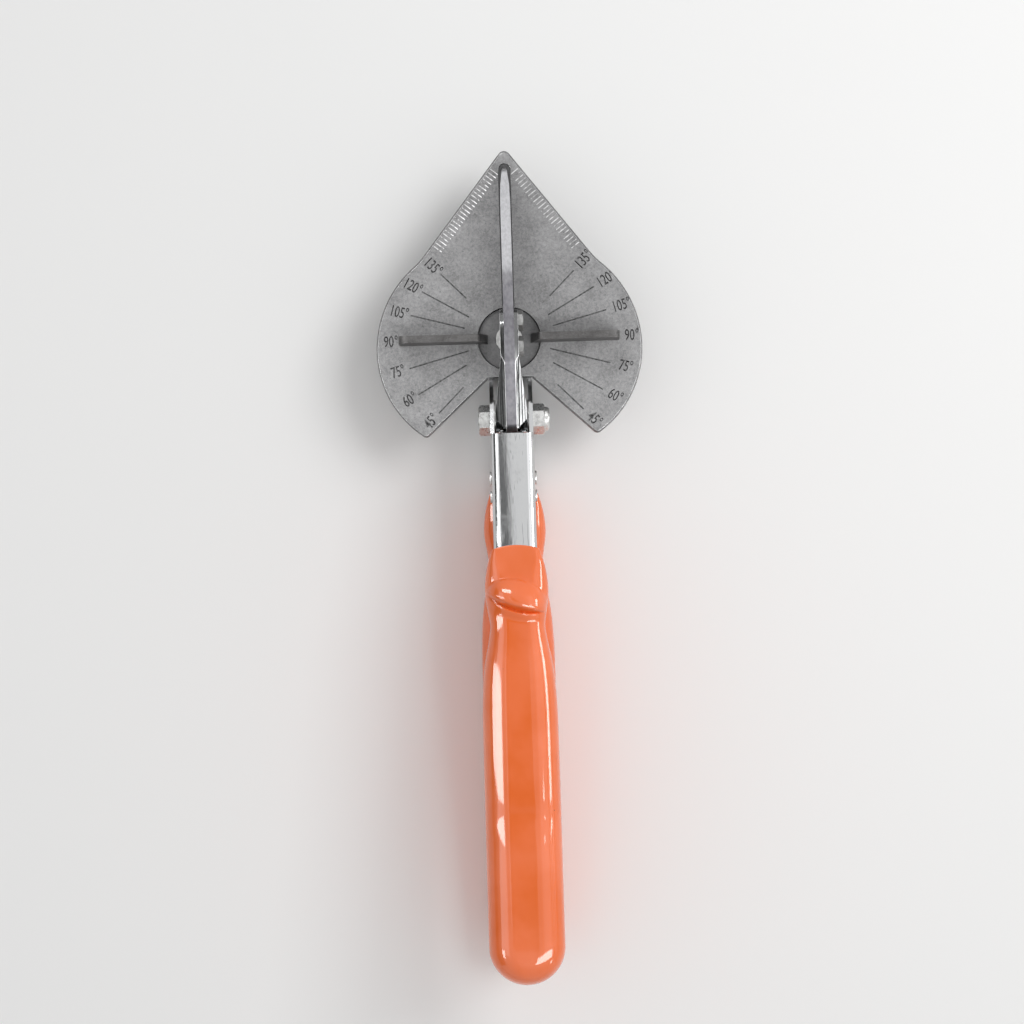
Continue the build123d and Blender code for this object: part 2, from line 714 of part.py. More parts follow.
def spring_path():
    """Middle line of the return spring: half turns as pairs of arcs, close-wound at both ends."""
    lean = (spring_radius + spring_wire / 2) * tan(radians(upper_slope))
    top = upper_web(spring_y) - sheet - seat_gap - lean - spring_wire / 2
    bottom = lower_web(spring_y) + sheet + seat_gap + spring_wire / 2
    dead_pitch = spring_wire + spring_self_gap
    open_turns = spring_turns - 2 * spring_dead_turns
    open_pitch = (top - bottom - 2 * spring_dead_turns * dead_pitch) / open_turns
    points, tangents = [], []
    height = bottom
    for half_turn in range(2 * spring_turns + 1):
        turns = half_turn / 2
        last_open = spring_turns - spring_dead_turns
        before = open_pitch if spring_dead_turns < turns <= last_open else dead_pitch
        after = open_pitch if spring_dead_turns <= turns < last_open else dead_pitch
        height += before / 2 if half_turn else 0
        angle = pi * half_turn
        points.append(Vector(spring_radius * cos(angle), spring_y + spring_radius * sin(angle), height))
        rise = (before + after) / 2 / (2 * pi)
        tangents.append(
            Vector(-spring_radius * sin(angle), spring_radius * cos(angle), rise).normalized()
        )
    arcs = []
    for index in range(len(points) - 1):
        arcs += biarc(points[index], tangents[index], points[index + 1], tangents[index + 1])
    return arcs


def biarc(start, start_tangent, end, end_tangent):
    """Two arcs that meet smoothly, from one point and tangent to another."""
    chord = end - start
    both = start_tangent + end_tangent
    openness = 2 - 2 * start_tangent.dot(end_tangent)
    reach = (sqrt(chord.dot(both) ** 2 + openness * chord.dot(chord)) - chord.dot(both)) / openness
    joint = (start + end + (start_tangent - end_tangent) * reach) * 0.5
    first = TangentArc(start, joint, tangent=start_tangent)
    return [first, TangentArc(joint, end, tangent=first % 1)]


def make_return_spring():
    """One unbroken wire, swept along its turns."""
    arcs = spring_path()
    path = Wire(arcs)
    section = Plane(origin=path @ 0, z_dir=path % 0) * Circle(spring_wire / 2)
    print("spring: least gap to itself", round(least_self_gap(arcs), 3), "mm")
    return sweep(section, path=path)


def least_self_gap(arcs):
    """Least gap between turns of the wire, measured on points along it."""
    samples = [arc @ (step / samples_per_arc) for arc in arcs for step in range(samples_per_arc)]
    turn = len(samples) // spring_turns
    gaps = [
        (samples[later] - samples[index]).length - spring_wire
        for index in range(len(samples))
        for later in range(index + turn // 2, len(samples))
    ]
    return min(gaps)


pieces = {
    "upper_handle": make_upper_handle,
    "upper_grip": lambda: grip(upper_grip_front_y, upper_web, upper_slope, 1),
    "angle_plate": make_angle_plate,
    "jaw_bar": make_jaw_bar,
    "anvil_strip": make_anvil_strip,
    "anvil_screws": lambda: bar_screws(strip_screw_radius, strip_screw_ys, -strip_thickness / 2),
    "plate_screws": lambda: bar_screws(plate_screw_radius, plate_screw_ys, plate_screw_tip_z),
    "jaw_rivets": make_jaw_rivets,
    "fence_stud": make_fence_stud,
    "fence_nut": make_fence_nut,
    "fence_washer": make_fence_washer,
    "pivot_bolt": make_pivot_bolt,
    "pivot_nut": make_pivot_nut,
    "pivot_shims": make_pivot_shims,
    "latch_catch_pin": lambda: cross_pin(catch_pin_radius, catch_pin_y, catch_pin_z),
    "return_spring": make_return_spring,
    "lower_handle": make_lower_handle,
    "lower_grip": lambda: grip(lower_grip_front_y, lower_web, lower_slope, -1),
    "blade_holder": make_blade_holder,
    "blade": make_blade,
    "blade_screws": make_blade_screws,
    "blade_nuts": make_blade_nuts,
    "latch_pivot_pin": lambda: cross_pin(latch_pin_radius, latch_pin_y, latch_pin_z),
    "fence": make_fence,
    "latch_hook": make_latch_hook,
}

for name, make in pieces.items():
    shape = make()
    export_step(shape, f"parts/{name}.step")
    box = shape.bounding_box()
    print(name, len(shape.solids()), round(shape.volume, 1), box.min, box.max)
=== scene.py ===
"""Dressed scene of a multi-angle mitre shear, shut.

Laid out as a Blender add-on and run as a script. All lengths are in metres, in the frame of the
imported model: the origin is the angular centre of the plate, on its upper face, +Y runs along the
blade to the tip of the plate and +Z points up from the plate to the blade.
"""

import json
from math import cos, exp, pi, radians, sin, sqrt, tan

import bmesh
import bpy
from bpy.props import FloatProperty, FloatVectorProperty, IntProperty, PointerProperty
from bpy.types import Operator, Panel, PropertyGroup
from mathutils import Matrix, Vector


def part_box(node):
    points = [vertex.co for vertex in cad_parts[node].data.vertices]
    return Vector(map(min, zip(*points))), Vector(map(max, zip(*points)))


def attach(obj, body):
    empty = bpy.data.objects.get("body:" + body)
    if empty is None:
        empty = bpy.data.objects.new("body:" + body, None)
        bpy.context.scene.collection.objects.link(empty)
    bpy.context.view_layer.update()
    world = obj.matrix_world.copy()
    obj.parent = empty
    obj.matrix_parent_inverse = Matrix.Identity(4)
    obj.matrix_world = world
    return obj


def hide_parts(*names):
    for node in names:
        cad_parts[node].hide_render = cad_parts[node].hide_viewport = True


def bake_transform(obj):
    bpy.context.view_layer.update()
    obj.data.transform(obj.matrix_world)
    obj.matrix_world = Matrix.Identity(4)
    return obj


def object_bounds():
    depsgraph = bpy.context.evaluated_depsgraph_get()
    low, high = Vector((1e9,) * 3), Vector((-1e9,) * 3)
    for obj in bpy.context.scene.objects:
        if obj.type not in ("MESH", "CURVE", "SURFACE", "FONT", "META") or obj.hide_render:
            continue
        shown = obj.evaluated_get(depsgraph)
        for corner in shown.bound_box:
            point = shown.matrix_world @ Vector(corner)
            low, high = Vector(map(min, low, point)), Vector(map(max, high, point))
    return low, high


bl_info = {
    "name": "Mitre shear",
    "version": (1, 0, 0),
    "blender": (4, 5, 0),
    "location": "3D View > Sidebar > Shear",
    "description": "Builds the looks of a multi-angle mitre shear on its packed model",
    "category": "Object",
}

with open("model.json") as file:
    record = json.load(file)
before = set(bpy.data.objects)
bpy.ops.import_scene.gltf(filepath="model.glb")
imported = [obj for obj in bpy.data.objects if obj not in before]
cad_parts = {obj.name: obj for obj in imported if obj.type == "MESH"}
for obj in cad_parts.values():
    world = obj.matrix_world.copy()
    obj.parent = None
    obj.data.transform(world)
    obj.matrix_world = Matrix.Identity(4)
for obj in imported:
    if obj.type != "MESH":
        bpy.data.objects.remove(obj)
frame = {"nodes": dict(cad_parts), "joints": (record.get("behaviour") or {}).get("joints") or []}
cad_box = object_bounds()

MM = 0.001
WELD = 2e-6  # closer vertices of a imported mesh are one

FIXED = "plate_lever"
BLADE_LEVER = "blade_lever"
FENCE_ARM = "fence_arm"
LATCH = "latch"

PIVOT = Vector(next(joint["pos_m"] for joint in frame["joints"] if joint["name"] == "jaw_hinge"))


def low(node):
    """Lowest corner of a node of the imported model."""
    return Vector(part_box(node)[0])


def high(node):
    """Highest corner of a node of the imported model."""
    return Vector(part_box(node)[1])


# ---------------------------------------------------------------- sizes and colours


def length_property(name, description, default):
    """Length that a user may change, in metres."""
    return FloatProperty(name=name, description=description, default=default, unit="LENGTH")


def angle_property(name, description, degrees):
    """Angle that a user may change."""
    return FloatProperty(
        name=name, description=description, default=radians(degrees), subtype="ANGLE")


def colour_property(name, description, default):
    """Colour that a user may change, as linear values."""
    return FloatVectorProperty(
        name=name, description=description, default=default, subtype="COLOR", min=0, max=1)


class ScaleSizes(PropertyGroup):
    """The engraved scale of the plate."""

    tick_pitch: length_property("Tick pitch", "Between two ticks along a flank", 1.2 * MM)
    tick_width: length_property("Tick width", "Width of a tick at the surface", 0.3 * MM)
    tick_length: length_property("Tick length", "Length of a tick, inwards", 3.0 * MM)
    tick_count: IntProperty(name="Ticks", description="Ticks along each flank", default=25, min=1)
    line_width: length_property("Line width", "Width of a line at the surface", 0.42 * MM)
    depth: length_property("Engraving depth", "Depth of lines and numbers", 0.22 * MM)
    digit_height: length_property("Number height", "Height of the numbers", 3.2 * MM)


class GripSizes(PropertyGroup):
    """The soft grips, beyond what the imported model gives."""

    guard_rise: length_property("Thumb stop rise", "Height of the stop over the grip", 3.1 * MM)
    guard_centre: length_property(
        "Thumb stop place", "From the front of the grip to the middle of its stop", 16.8 * MM)
    guard_reach: length_property(
        "Thumb stop half width", "Half the length of the stop, across the grip", 9.8 * MM)
    guard_front: length_property(
        "Thumb stop front", "From the stop's long axis to its soft front foot", 6.6 * MM)
    guard_rear: length_property(
        "Thumb stop rear", "From the stop's long axis to the crease behind it", 2.9 * MM)
    guard_tilt: angle_property("Thumb stop tilt", "Turn of the stop on the grip", 18)
    dent_depth: length_property(
        "Dent depth", "Depth of the shallow dent across the upper grip", 0.15 * MM)


class FinishColours(PropertyGroup):
    """Colours of the finishes."""

    grip: colour_property("Grip", "Soft vinyl of the grips", (0.88, 0.15, 0.016))
    plate: colour_property("Plate", "Matt plated steel of the plate", (0.138, 0.137, 0.139))
    chrome: colour_property("Chrome", "Bright chrome of the two levers", (0.57, 0.575, 0.58))
    holder: colour_property("Blade holder", "Grey steel of the blade holder", (0.27, 0.27, 0.28))
    fence: colour_property("Fence", "Dark steel of the fence", (0.033, 0.030, 0.029))
    floor: colour_property("Floor", "Plain pale floor", (0.87, 0.87, 0.865))


class StageSizes(PropertyGroup):
    """Camera and lights."""

    camera_distance: length_property("Camera distance", "From camera to plate", 0.9)
    camera_roll: angle_property("Camera roll", "Turn of the picture", -1.7)
    key_energy: FloatProperty(
        name="Key light", description="Power of the large soft light", default=4.0, subtype="POWER")
    glint_strength: FloatProperty(
        name="Glints", description="Brightness of the small lamps that show as glints",
        default=1.0, min=0)
    room_strength: FloatProperty(
        name="Room light", description="Brightness of the room all round", default=0.62, min=0)


# ---------------------------------------------------------------- materials


class Value:
    """A number inside a material; arithmetic on it adds the Math nodes."""

    def __init__(self, finish, socket):
        self.finish = finish
        self.socket = socket

    def maths(self, operation, *terms):
        node = self.finish.add(
            "ShaderNodeMath", {"operation": operation}, dict(enumerate(terms)))
        return Value(self.finish, node.outputs[0])

    def __add__(self, other):
        return self.maths("ADD", self, other)

    def __sub__(self, other):
        return self.maths("SUBTRACT", self, other)

    def __rsub__(self, other):
        return self.maths("SUBTRACT", other, self)

    def __mul__(self, other):
        return self.maths("MULTIPLY", self, other)

    __radd__ = __add__
    __rmul__ = __mul__

    def smooth(self, start, end):
        """0 below start, 1 above end and a soft step between."""
        node = self.finish.add(
            "ShaderNodeMapRange", {"interpolation_type": "SMOOTHSTEP"},
            {"Value": self, "From Min": start, "From Max": end})
        return Value(self.finish, node.outputs["Result"])


class Finish:
    """Shader nodes of a material or of the world, all added by one method."""

    def __init__(self, name, kind="materials"):
        self.owner = getattr(bpy.data, kind).new(name)
        self.owner.use_nodes = True
        self.tree = self.owner.node_tree
        self.tree.nodes.clear()
        self.place = self.add("ShaderNodeTexCoord").outputs["Object"]

    def add(self, kind, settings=None, inputs=None):
        """New node, with its settings first and then the values or links of its sockets."""
        node = self.tree.nodes.new(kind)
        for name, value in (settings or {}).items():
            setattr(node, name, value)
        for name, value in (inputs or {}).items():
            socket = node.inputs[name]
            value = value.socket if isinstance(value, Value) else value
            if isinstance(value, bpy.types.NodeSocket):
                self.tree.links.new(value, socket)
            else:
                socket.default_value = (*value, 1.0) if socket.type == "RGBA" else value
        return node

    def part(self, axis):
        """One coordinate of the surface point, in metres."""
        split = self.add("ShaderNodeSeparateXYZ", inputs={"Vector": self.place})
        return Value(self, split.outputs[axis])

    def noise(self, size, detail=2.0, roughness=0.5, stretch=(1, 1, 1), distortion=0.0):
        """Smooth noise from 0 to 1 whose blobs are about size across, longer where stretched."""
        scaled = self.add("ShaderNodeMapping", {}, {
            "Vector": self.place, "Scale": [1 / share for share in stretch]})
        node = self.add("ShaderNodeTexNoise", {}, {
            "Vector": scaled.outputs["Vector"], "Scale": 1 / size, "Detail": detail,
            "Roughness": roughness, "Distortion": distortion})
        return Value(self, node.outputs["Fac"])

    def cells(self, size):
        """Distance to the nearest of scattered points about size apart, 0 at a point."""
        node = self.add("ShaderNodeTexVoronoi", {}, {"Vector": self.place, "Scale": 1 / size})
        return Value(self, node.outputs["Distance"])

    def blend(self, share, first, second):
        """Colour between two colours."""
        inputs = {"Factor": share, 6: first, 7: second}
        return self.add("ShaderNodeMix", {"data_type": "RGBA"}, inputs).outputs[2]

    def toned(self, colour, share):
        """Colour, given or made by nodes, mixed towards white or, by a share under 0, black."""
        if not isinstance(colour, bpy.types.NodeSocket):
            return lighter(colour, share)
        goal = (1.0, 1.0, 1.0) if share > 0 else (0.0, 0.0, 0.0)
        return self.blend(abs(share), colour, goal)

    def between(self, height, start, end, colour, low_share, high_share):
        """Colour toned by one share where a height is under start and by another over end."""
        tones = (self.toned(colour, share) for share in (low_share, high_share))
        return self.blend(height.smooth(start, end), *tones)

    def bump(self, height, distance, strength=1.0, base=None):
        """Normal roughened by a height from 0 to 1, over a distance in metres."""
        inputs = {"Height": height, "Distance": distance, "Strength": strength}
        if base:
            inputs["Normal"] = base
        return self.add("ShaderNodeBump", {}, inputs).outputs["Normal"]

    def shade(self, **inputs):
        """Ends the material in one Principled shader; words in socket names are joined by _."""
        sockets = {name.replace("_", " "): value for name, value in inputs.items()}
        shader = self.add("ShaderNodeBsdfPrincipled", {}, sockets)
        output = self.add("ShaderNodeOutputMaterial", {}, {"Surface": shader.outputs["BSDF"]})
        output.is_active_output = True
        return self.owner


def lighter(colour, share):
    """Colour mixed towards white by a share, or towards black by a negative one."""
    goal = 1.0 if share > 0 else 0.0
    return tuple(part + (goal - part) * abs(share) for part in colour)


def grip_vinyl(name, colour):
    """Glossy soft vinyl: a faint bloom, slow waves, fine dimples and a few dark specks."""
    finish = Finish(name)
    cloudy = finish.between(finish.noise(16 * MM, detail=3.0), 0.3, 0.7, colour, -0.07, 0.03)
    speck = 1 - finish.cells(6.5 * MM).smooth(0.02, 0.035)
    dirt = speck * finish.noise(15 * MM).smooth(0.62, 0.66)
    tint = finish.blend(dirt * 0.8, cloudy, lighter(colour, -0.85))
    dimples = finish.noise(0.5 * MM, detail=1.0)
    waves = finish.noise(9 * MM, detail=1.0, stretch=(1, 2.5, 1))
    soft = finish.bump(waves, 0.25 * MM, strength=0.25)
    return finish.shade(
        Base_Color=tint, Roughness=0.3 + finish.noise(4 * MM) * 0.12,
        Normal=finish.bump(dimples, 0.01 * MM, strength=0.2, base=soft),
        Coat_Weight=1.0, Coat_Roughness=0.06, Specular_IOR_Level=0.12)


def mottled(finish, base, speckle=1.0, lift=0.16, metallic=0.82):
    """Ends a finish as matt plated steel: clouds, and grain, flecks and pits by the speckle."""
    grain = finish.noise(0.3 * MM, detail=3.0, roughness=0.7)
    flecks = finish.noise(0.9 * MM, detail=2.0, roughness=0.6, distortion=0.6)
    clouds = finish.noise(9 * MM, detail=4.0, roughness=0.6)
    pits = 1 - finish.noise(0.8 * MM, detail=2.0, roughness=0.6).smooth(0.28, 0.38)
    fine = (grain - 0.5) * (0.55 * speckle) + (flecks - 0.5) * (0.5 * speckle)
    tint = finish.between(fine + (clouds - 0.5) * 0.5 + 0.5, 0.1, 0.9, base, -0.38, lift)
    return finish.shade(
        Base_Color=finish.blend(pits * (0.45 * speckle), tint, finish.toned(base, -0.6)),
        Metallic=metallic, Roughness=0.38 + grain * 0.16 + clouds * 0.12,
        Normal=finish.bump(grain, 0.03 * MM, strength=0.5 * speckle))


def fence_steel(name, colour, plate_colour):
    """Ring nearly as pale as the plate, wings darker towards their tops."""
    finish = Finish(name)
    ring_top = finish.part("Z").smooth(-0.5 * MM, 1.5 * MM)
    base = finish.blend(ring_top, lighter(plate_colour, -0.2), colour)
    return mottled(finish, base, 0.7, lift=0.1, metallic=0.75)


def steel(name, colour, grain, ends, tones, metallic, roughness, gloss_change=0.2, relief=None):
    """Steel in two tones of a colour; its grain also changes its gloss and may stand in relief."""
    finish = Finish(name)
    height = finish.noise(*grain)
    inputs = {"Normal": finish.bump(height, *relief)} if relief else {}
    return finish.shade(
        Base_Color=finish.between(height, *ends, colour, *tones), Metallic=metallic,
        Roughness=roughness + height * gloss_change, **inputs)


def worn_edge(name, colour):
    """Edge rubbed bright through the plating, made paler still as a painted highlight along the
    edge.
    """
    return steel(name, colour, (1.2 * MM, 3.0, 0.6), (0.3, 0.7), (0.25, 0.65), 0.95, 0.22)


CROWN_WIDTH = 6.4 * MM
CROWN_HEIGHT = 0.3 * MM  # of the slightly domed web of a pressed lever
PAINTED_SHADE_STEP = 3 * MM  # half the length over which the painted shade comes in


def chrome(name, colour, rippling=0.35, ripple_stretch=(1, 9, 1), haze=1.0, painted_shade_from=None):
    """Bright chrome over pressed sheet: waves, ripples, hairlines, scratches and dull smudges, and,
    beyond a given place along the blade, a painted shade.
    """
    finish = Finish(name)
    waves = finish.noise(5 * MM, detail=1.5, stretch=(1, 7, 1))
    ripples = finish.noise(1.0 * MM, detail=1.0, stretch=ripple_stretch, distortion=0.2)
    hairs = finish.noise(0.12 * MM, detail=1.0, stretch=(1, 60, 1))
    smudge = finish.noise(7 * MM, detail=4.0, roughness=0.6).smooth(0.48, 0.72)
    across = finish.part("X") * (1 / CROWN_WIDTH)
    crowned = finish.bump(across * across, -CROWN_HEIGHT)
    waved = finish.bump(waves, 0.05 * MM, strength=0.5, base=crowned)
    rippled = finish.bump(ripples, 0.03 * MM, strength=rippling, base=waved)
    marks = finish.noise(0.5 * MM, detail=0.0, stretch=(1, 22, 1), distortion=0.3)
    scratches = 1 - marks.smooth(0.26, 0.30)
    tint = finish.blend(smudge, colour, lighter(colour, -0.1))
    scratched = finish.blend(scratches * 0.3, tint, lighter(colour, -0.6))
    if painted_shade_from is not None:  # beyond this place along the blade the chrome is painted dark: painted shade on the cheeks beside the holder
        dull = finish.part("Y").smooth(painted_shade_from - PAINTED_SHADE_STEP, painted_shade_from + PAINTED_SHADE_STEP)
        scratched = finish.blend(dull * 0.8, scratched, lighter(colour, -0.8))
    return finish.shade(
        Base_Color=scratched, Metallic=1.0,
        Roughness=(0.08 + smudge * 0.14 + hairs * 0.06) * haze,
        Normal=finish.bump(hairs, 0.004 * MM, strength=0.4 * haze, base=rippled))


REAR_SHARE = (0.50, 0.485, 0.52)  # share of its red, green and blue that the holder keeps towards the pivot


def holder_steel(name, colour):
    """Grey holder, paler and smoother at its nose and mottled dark towards the pivot."""
    finish = Finish(name)
    rear = 1 - finish.part("Y").smooth(12 * MM, 24 * MM)
    mottle = finish.noise(0.9 * MM, detail=3.0, roughness=0.65, stretch=(1, 1.6, 1))
    patches = finish.noise(4 * MM, detail=2.0, stretch=(1, 2, 1))
    pale = finish.between(mottle, 0.3, 0.7, colour, -0.15, 0.04)
    rear_tone = tuple(part * share for part, share in zip(colour, REAR_SHARE))
    dark = finish.between(mottle * 0.5 + patches * 0.5, 0.3, 0.7, rear_tone, -0.28, 0.06)
    return finish.shade(
        Base_Color=finish.blend(rear, pale, dark), Metallic=0.75, Roughness=0.34 + mottle * 0.2,
        Normal=finish.bump(mottle, 0.03 * MM, strength=0.4))


BRIGHT_ZINC = (0.62, 0.62, 0.61)


def zinc(name, share, roughness=0.3):
    """Zinc plating of the small hardware, toned by a share, with a faint bloom."""
    return steel(
        name, lighter(BRIGHT_ZINC, share), (1.4 * MM, 3.0, 0.6), (0.3, 0.75), (-0.16, 0.1), 1.0,
        roughness, 0.16, (0.01 * MM, 0.3))


def ground_steel(name, colour):
    """Tool steel with the fine marks of grinding across the edge."""
    return steel(
        name, colour, (0.08 * MM, 1.0, 0.5, (6, 1, 40)), (0.3, 0.7), (-0.14, 0.08), 1.0, 0.24, 0.12,
        (0.004 * MM, 0.5))


def anvil_plastic(name, colour):
    """Dull black plastic with pale cut marks across it."""
    finish = Finish(name)
    scuffs = finish.noise(0.25 * MM, detail=2.0, stretch=(1, 30, 1)).smooth(0.58, 0.72)
    return finish.shade(
        Base_Color=finish.blend(scuffs * 0.6, colour, lighter(colour, 0.16)),
        Roughness=0.48 + scuffs * 0.2,
        Normal=finish.bump(scuffs, 0.02 * MM, strength=0.4))


def make_materials(colours):
    """Every finish of the object, by name."""
    plate, lever = tuple(colours.plate), tuple(colours.chrome)
    return {
        "grip": grip_vinyl("grip_vinyl", tuple(colours.grip)),
        "plate": mottled(Finish("plate_steel"), plate),
        # bevelled plate edges: rubbed bright and painted with a highlight
        "edge": worn_edge("worn_edge", plate),
        # engraved lines and numbers: darker than the plate, a painted shade in the grooves
        "engraved": steel(
            "plate_engraving_painted_shade", plate, (0.8 * MM, 2.0), (0.35, 0.65), (-0.8, -0.35), 0.5, 0.5),
        # ticks: paler than the plate, a painted glint along the grooves
        "scored": steel(
            "plate_ticks_painted_glint", plate, (1.5 * MM, 2.0), (0.3, 0.6), (-0.1, 0.45), 0.8, 0.3),
        "chrome": chrome("lever_chrome", lever),
        # the formed lever's cheeks along the blade carry a painted shade
        "formed_chrome": chrome(
            "formed_chrome", lighter(lever, -0.08), rippling=2.0, ripple_stretch=(0.8, 40, 14),
            haze=0.45, painted_shade_from=-5 * MM),
        # edges of the formed lever: rubbed bright and painted with a highlight
        "eave": worn_edge("lever_eaves_worn_painted_highlight", (0.72, 0.72, 0.73)),
        "holder": holder_steel("holder_steel", tuple(colours.holder)),
        "fence": fence_steel("fence_steel", tuple(colours.fence), plate),
        "bar": mottled(Finish("bar_steel"), lighter(plate, -0.1), 0.5),
        "zinc": zinc("bright_zinc", -0.12),
        "dull_zinc": zinc("dull_zinc", -0.62, 0.4),
        "bolt": zinc("bolt_zinc", 0.1, 0.2),
        "spring": zinc("spring_wire", -0.3, 0.24),
        "blade": ground_steel("blade_steel", (0.52, 0.52, 0.53)),
        "anvil": anvil_plastic("anvil_plastic", (0.025, 0.025, 0.026)),
        "floor": Finish("floor_paint").shade(Base_Color=tuple(colours.floor), Roughness=0.9),
    }


MATERIALS = {}


# ---------------------------------------------------------------- mesh helpers


def placed(name, data):
    """New object in the scene, at the origin."""
    thing = bpy.data.objects.new(name, data)
    bpy.context.scene.collection.objects.link(thing)
    return thing


def add_piece(name, mesh, body, material=None, stands_for=()):
    """New object with a finished mesh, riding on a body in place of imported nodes."""
    piece = placed(name, mesh)
    if material:
        painted(mesh, material)
    if body:
        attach(piece, body)
    if stands_for:
        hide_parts(*stands_for)
    return piece


def painted(mesh, *names):
    """The mesh itself, with these finishes in its slots."""
    mesh.materials.clear()
    for name in names:
        mesh.materials.append(MATERIALS[name])
    return mesh


def mesh_of(bm, name="part"):
    """Mesh from a bmesh, with normals outwards, which frees the bmesh."""
    bmesh.ops.recalc_face_normals(bm, faces=bm.faces)
    mesh = bpy.data.meshes.new(name)
    bm.to_mesh(mesh)
    bm.free()
    return mesh


def evaluated(data, kind=None, **settings):
    """Plain mesh of an object with some data, after a modifier of a kind with its settings."""
    helper = placed("helper", data)
    if kind:
        modifier = helper.modifiers.new("making", kind)
        for name, value in settings.items():
            setattr(modifier, name, value)
    return applied(helper)


def applied(helper):
    """Plain mesh of a helper with its modifiers applied; the helper is removed."""
    bpy.context.view_layer.update()
    depsgraph = bpy.context.evaluated_depsgraph_get()
    mesh = bpy.data.meshes.new_from_object(helper.evaluated_get(depsgraph))
    bpy.data.objects.remove(helper)
    return mesh


def joined(meshes):
    """One mesh with the faces of several."""
    bm = bmesh.new()
    for mesh in meshes:
        bm.from_mesh(mesh)
    joined_mesh = bpy.data.meshes.new("joined")
    bm.to_mesh(joined_mesh)
    bm.free()
    return joined_mesh


def merged(mesh, distance, name="part", flatten=False):
    """Copy of a mesh with its doubles merged and, if wanted, its flat faces made whole."""
    bm = bmesh.new()
    bm.from_mesh(mesh)
    bmesh.ops.remove_doubles(bm, verts=bm.verts, dist=distance)
    if flatten:
        bmesh.ops.dissolve_limit(
            bm, angle_limit=radians(0.6), verts=bm.verts, edges=bm.edges, delimit={"NORMAL"})
    return mesh_of(bm, name)


def packed_copy(node, *finishes):
    """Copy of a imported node's mesh, in whole faces, with these finishes in its slots."""
    mesh = merged(frame["nodes"][node].data, WELD, node, flatten=True)
    return painted(mesh, *filter(None, finishes))


def softened(mesh, width, segments=2, worn_and_painted_highlight=False):
    """Mesh with its sharp edges rounded; where asked, they take the second material, worn and
    painted with a highlight.
    """
    return shaded(evaluated(
        mesh, "BEVEL", material=1 if worn_and_painted_highlight else -1, width=width, segments=segments,
        limit_method="ANGLE", angle_limit=radians(28), use_clamp_overlap=True))


def shaded(mesh, angle=30):
    """Mesh with smooth shading, sharp over an angle, weighted to its large faces."""
    mesh.polygons.foreach_set("use_smooth", [True] * len(mesh.polygons))
    mesh.set_sharp_from_angle(angle=radians(angle))
    return evaluated(mesh, "WEIGHTED_NORMAL", keep_sharp=True)


def dressed(node, body, material, width=0.12 * MM, segments=2, edge=None):
    """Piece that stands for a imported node, with rounded edges, which may have their own finish."""
    soft = softened(packed_copy(node, material, edge), width, segments, worn_and_painted_highlight=bool(edge))
    return add_piece(f"{node}_dressed", soft, body, stands_for=[node])


def cut(mesh, cutter, material=None):
    """Mesh less a cutter; the cut faces take the cutter's material."""
    if material:
        painted(cutter, material)
    tool = placed("cutter", cutter)
    result = evaluated(
        mesh, "BOOLEAN", operation="DIFFERENCE", solver="EXACT", material_mode="TRANSFER",
        object=tool)
    bpy.data.objects.remove(tool)
    return result


def turned(profile, steps=48):
    """Closed solid turned about Z; the profile is (radius, height) points from axis to axis."""
    bm = bmesh.new()
    rings = []
    for radius, height in profile:
        if radius < WELD:
            rings.append([bm.verts.new((0, 0, height))])
            continue
        angles = [2 * pi * step / steps for step in range(steps)]
        rings.append([
            bm.verts.new((radius * cos(angle), radius * sin(angle), height)) for angle in angles])
    bridge(bm, rings)
    return mesh_of(bm)


def bridge(bm, rings):
    """Faces between neighbouring rings; a ring of one vertex is a pole."""
    for first, second in zip(rings, rings[1:]):
        count = max(len(first), len(second))
        for step in range(count):
            corners = [
                first[step % len(first)], first[(step + 1) % len(first)],
                second[(step + 1) % len(second)], second[step % len(second)]]
            corners = list(dict.fromkeys(corners))
            if len(corners) > 2:
                bm.faces.new(corners)


def moved(mesh, matrix):
    """The mesh itself, moved by a matrix."""
    mesh.transform(matrix)
    return mesh


def facing(axis, place):
    """Matrix that turns +Z to an axis and moves the origin to a place."""
    turn = Vector((0, 0, 1)).rotation_difference(Vector(axis)).to_matrix().to_4x4()
    return Matrix.Translation(place) @ turn


HEXAGON_STEPS = 72
FLAT_TOP = 0.97  # radius of a hexagon's flat top, over half its width across flats
CHAMFER_SLOPE = 0.64


def hexagon_head(flats, height):
    """Hexagon from z = 0 to its height, with chamfered corners."""
    round_radius = flats / 2 * FLAT_TOP
    bm = bmesh.new()
    rings = [[bm.verts.new((0, 0, height))], [], [], []]
    for step in range(HEXAGON_STEPS):
        angle = 2 * pi * step / HEXAGON_STEPS
        reach = flats / 2 / cos((angle + pi / 6) % (pi / 3) - pi / 6)
        drop = (reach - round_radius) * CHAMFER_SLOPE
        direction = Vector((cos(angle), sin(angle), 0))
        for ring, radius, z in zip(
                rings[1:], (round_radius, reach, reach), (height, height - drop, 0)):
            ring.append(bm.verts.new(direction * radius + Vector((0, 0, z))))
    rings.append([bm.verts.new((0, 0, 0))])
    bridge(bm, rings)
    return mesh_of(bm)


# ---------------------------------------------------------------- geometry nodes


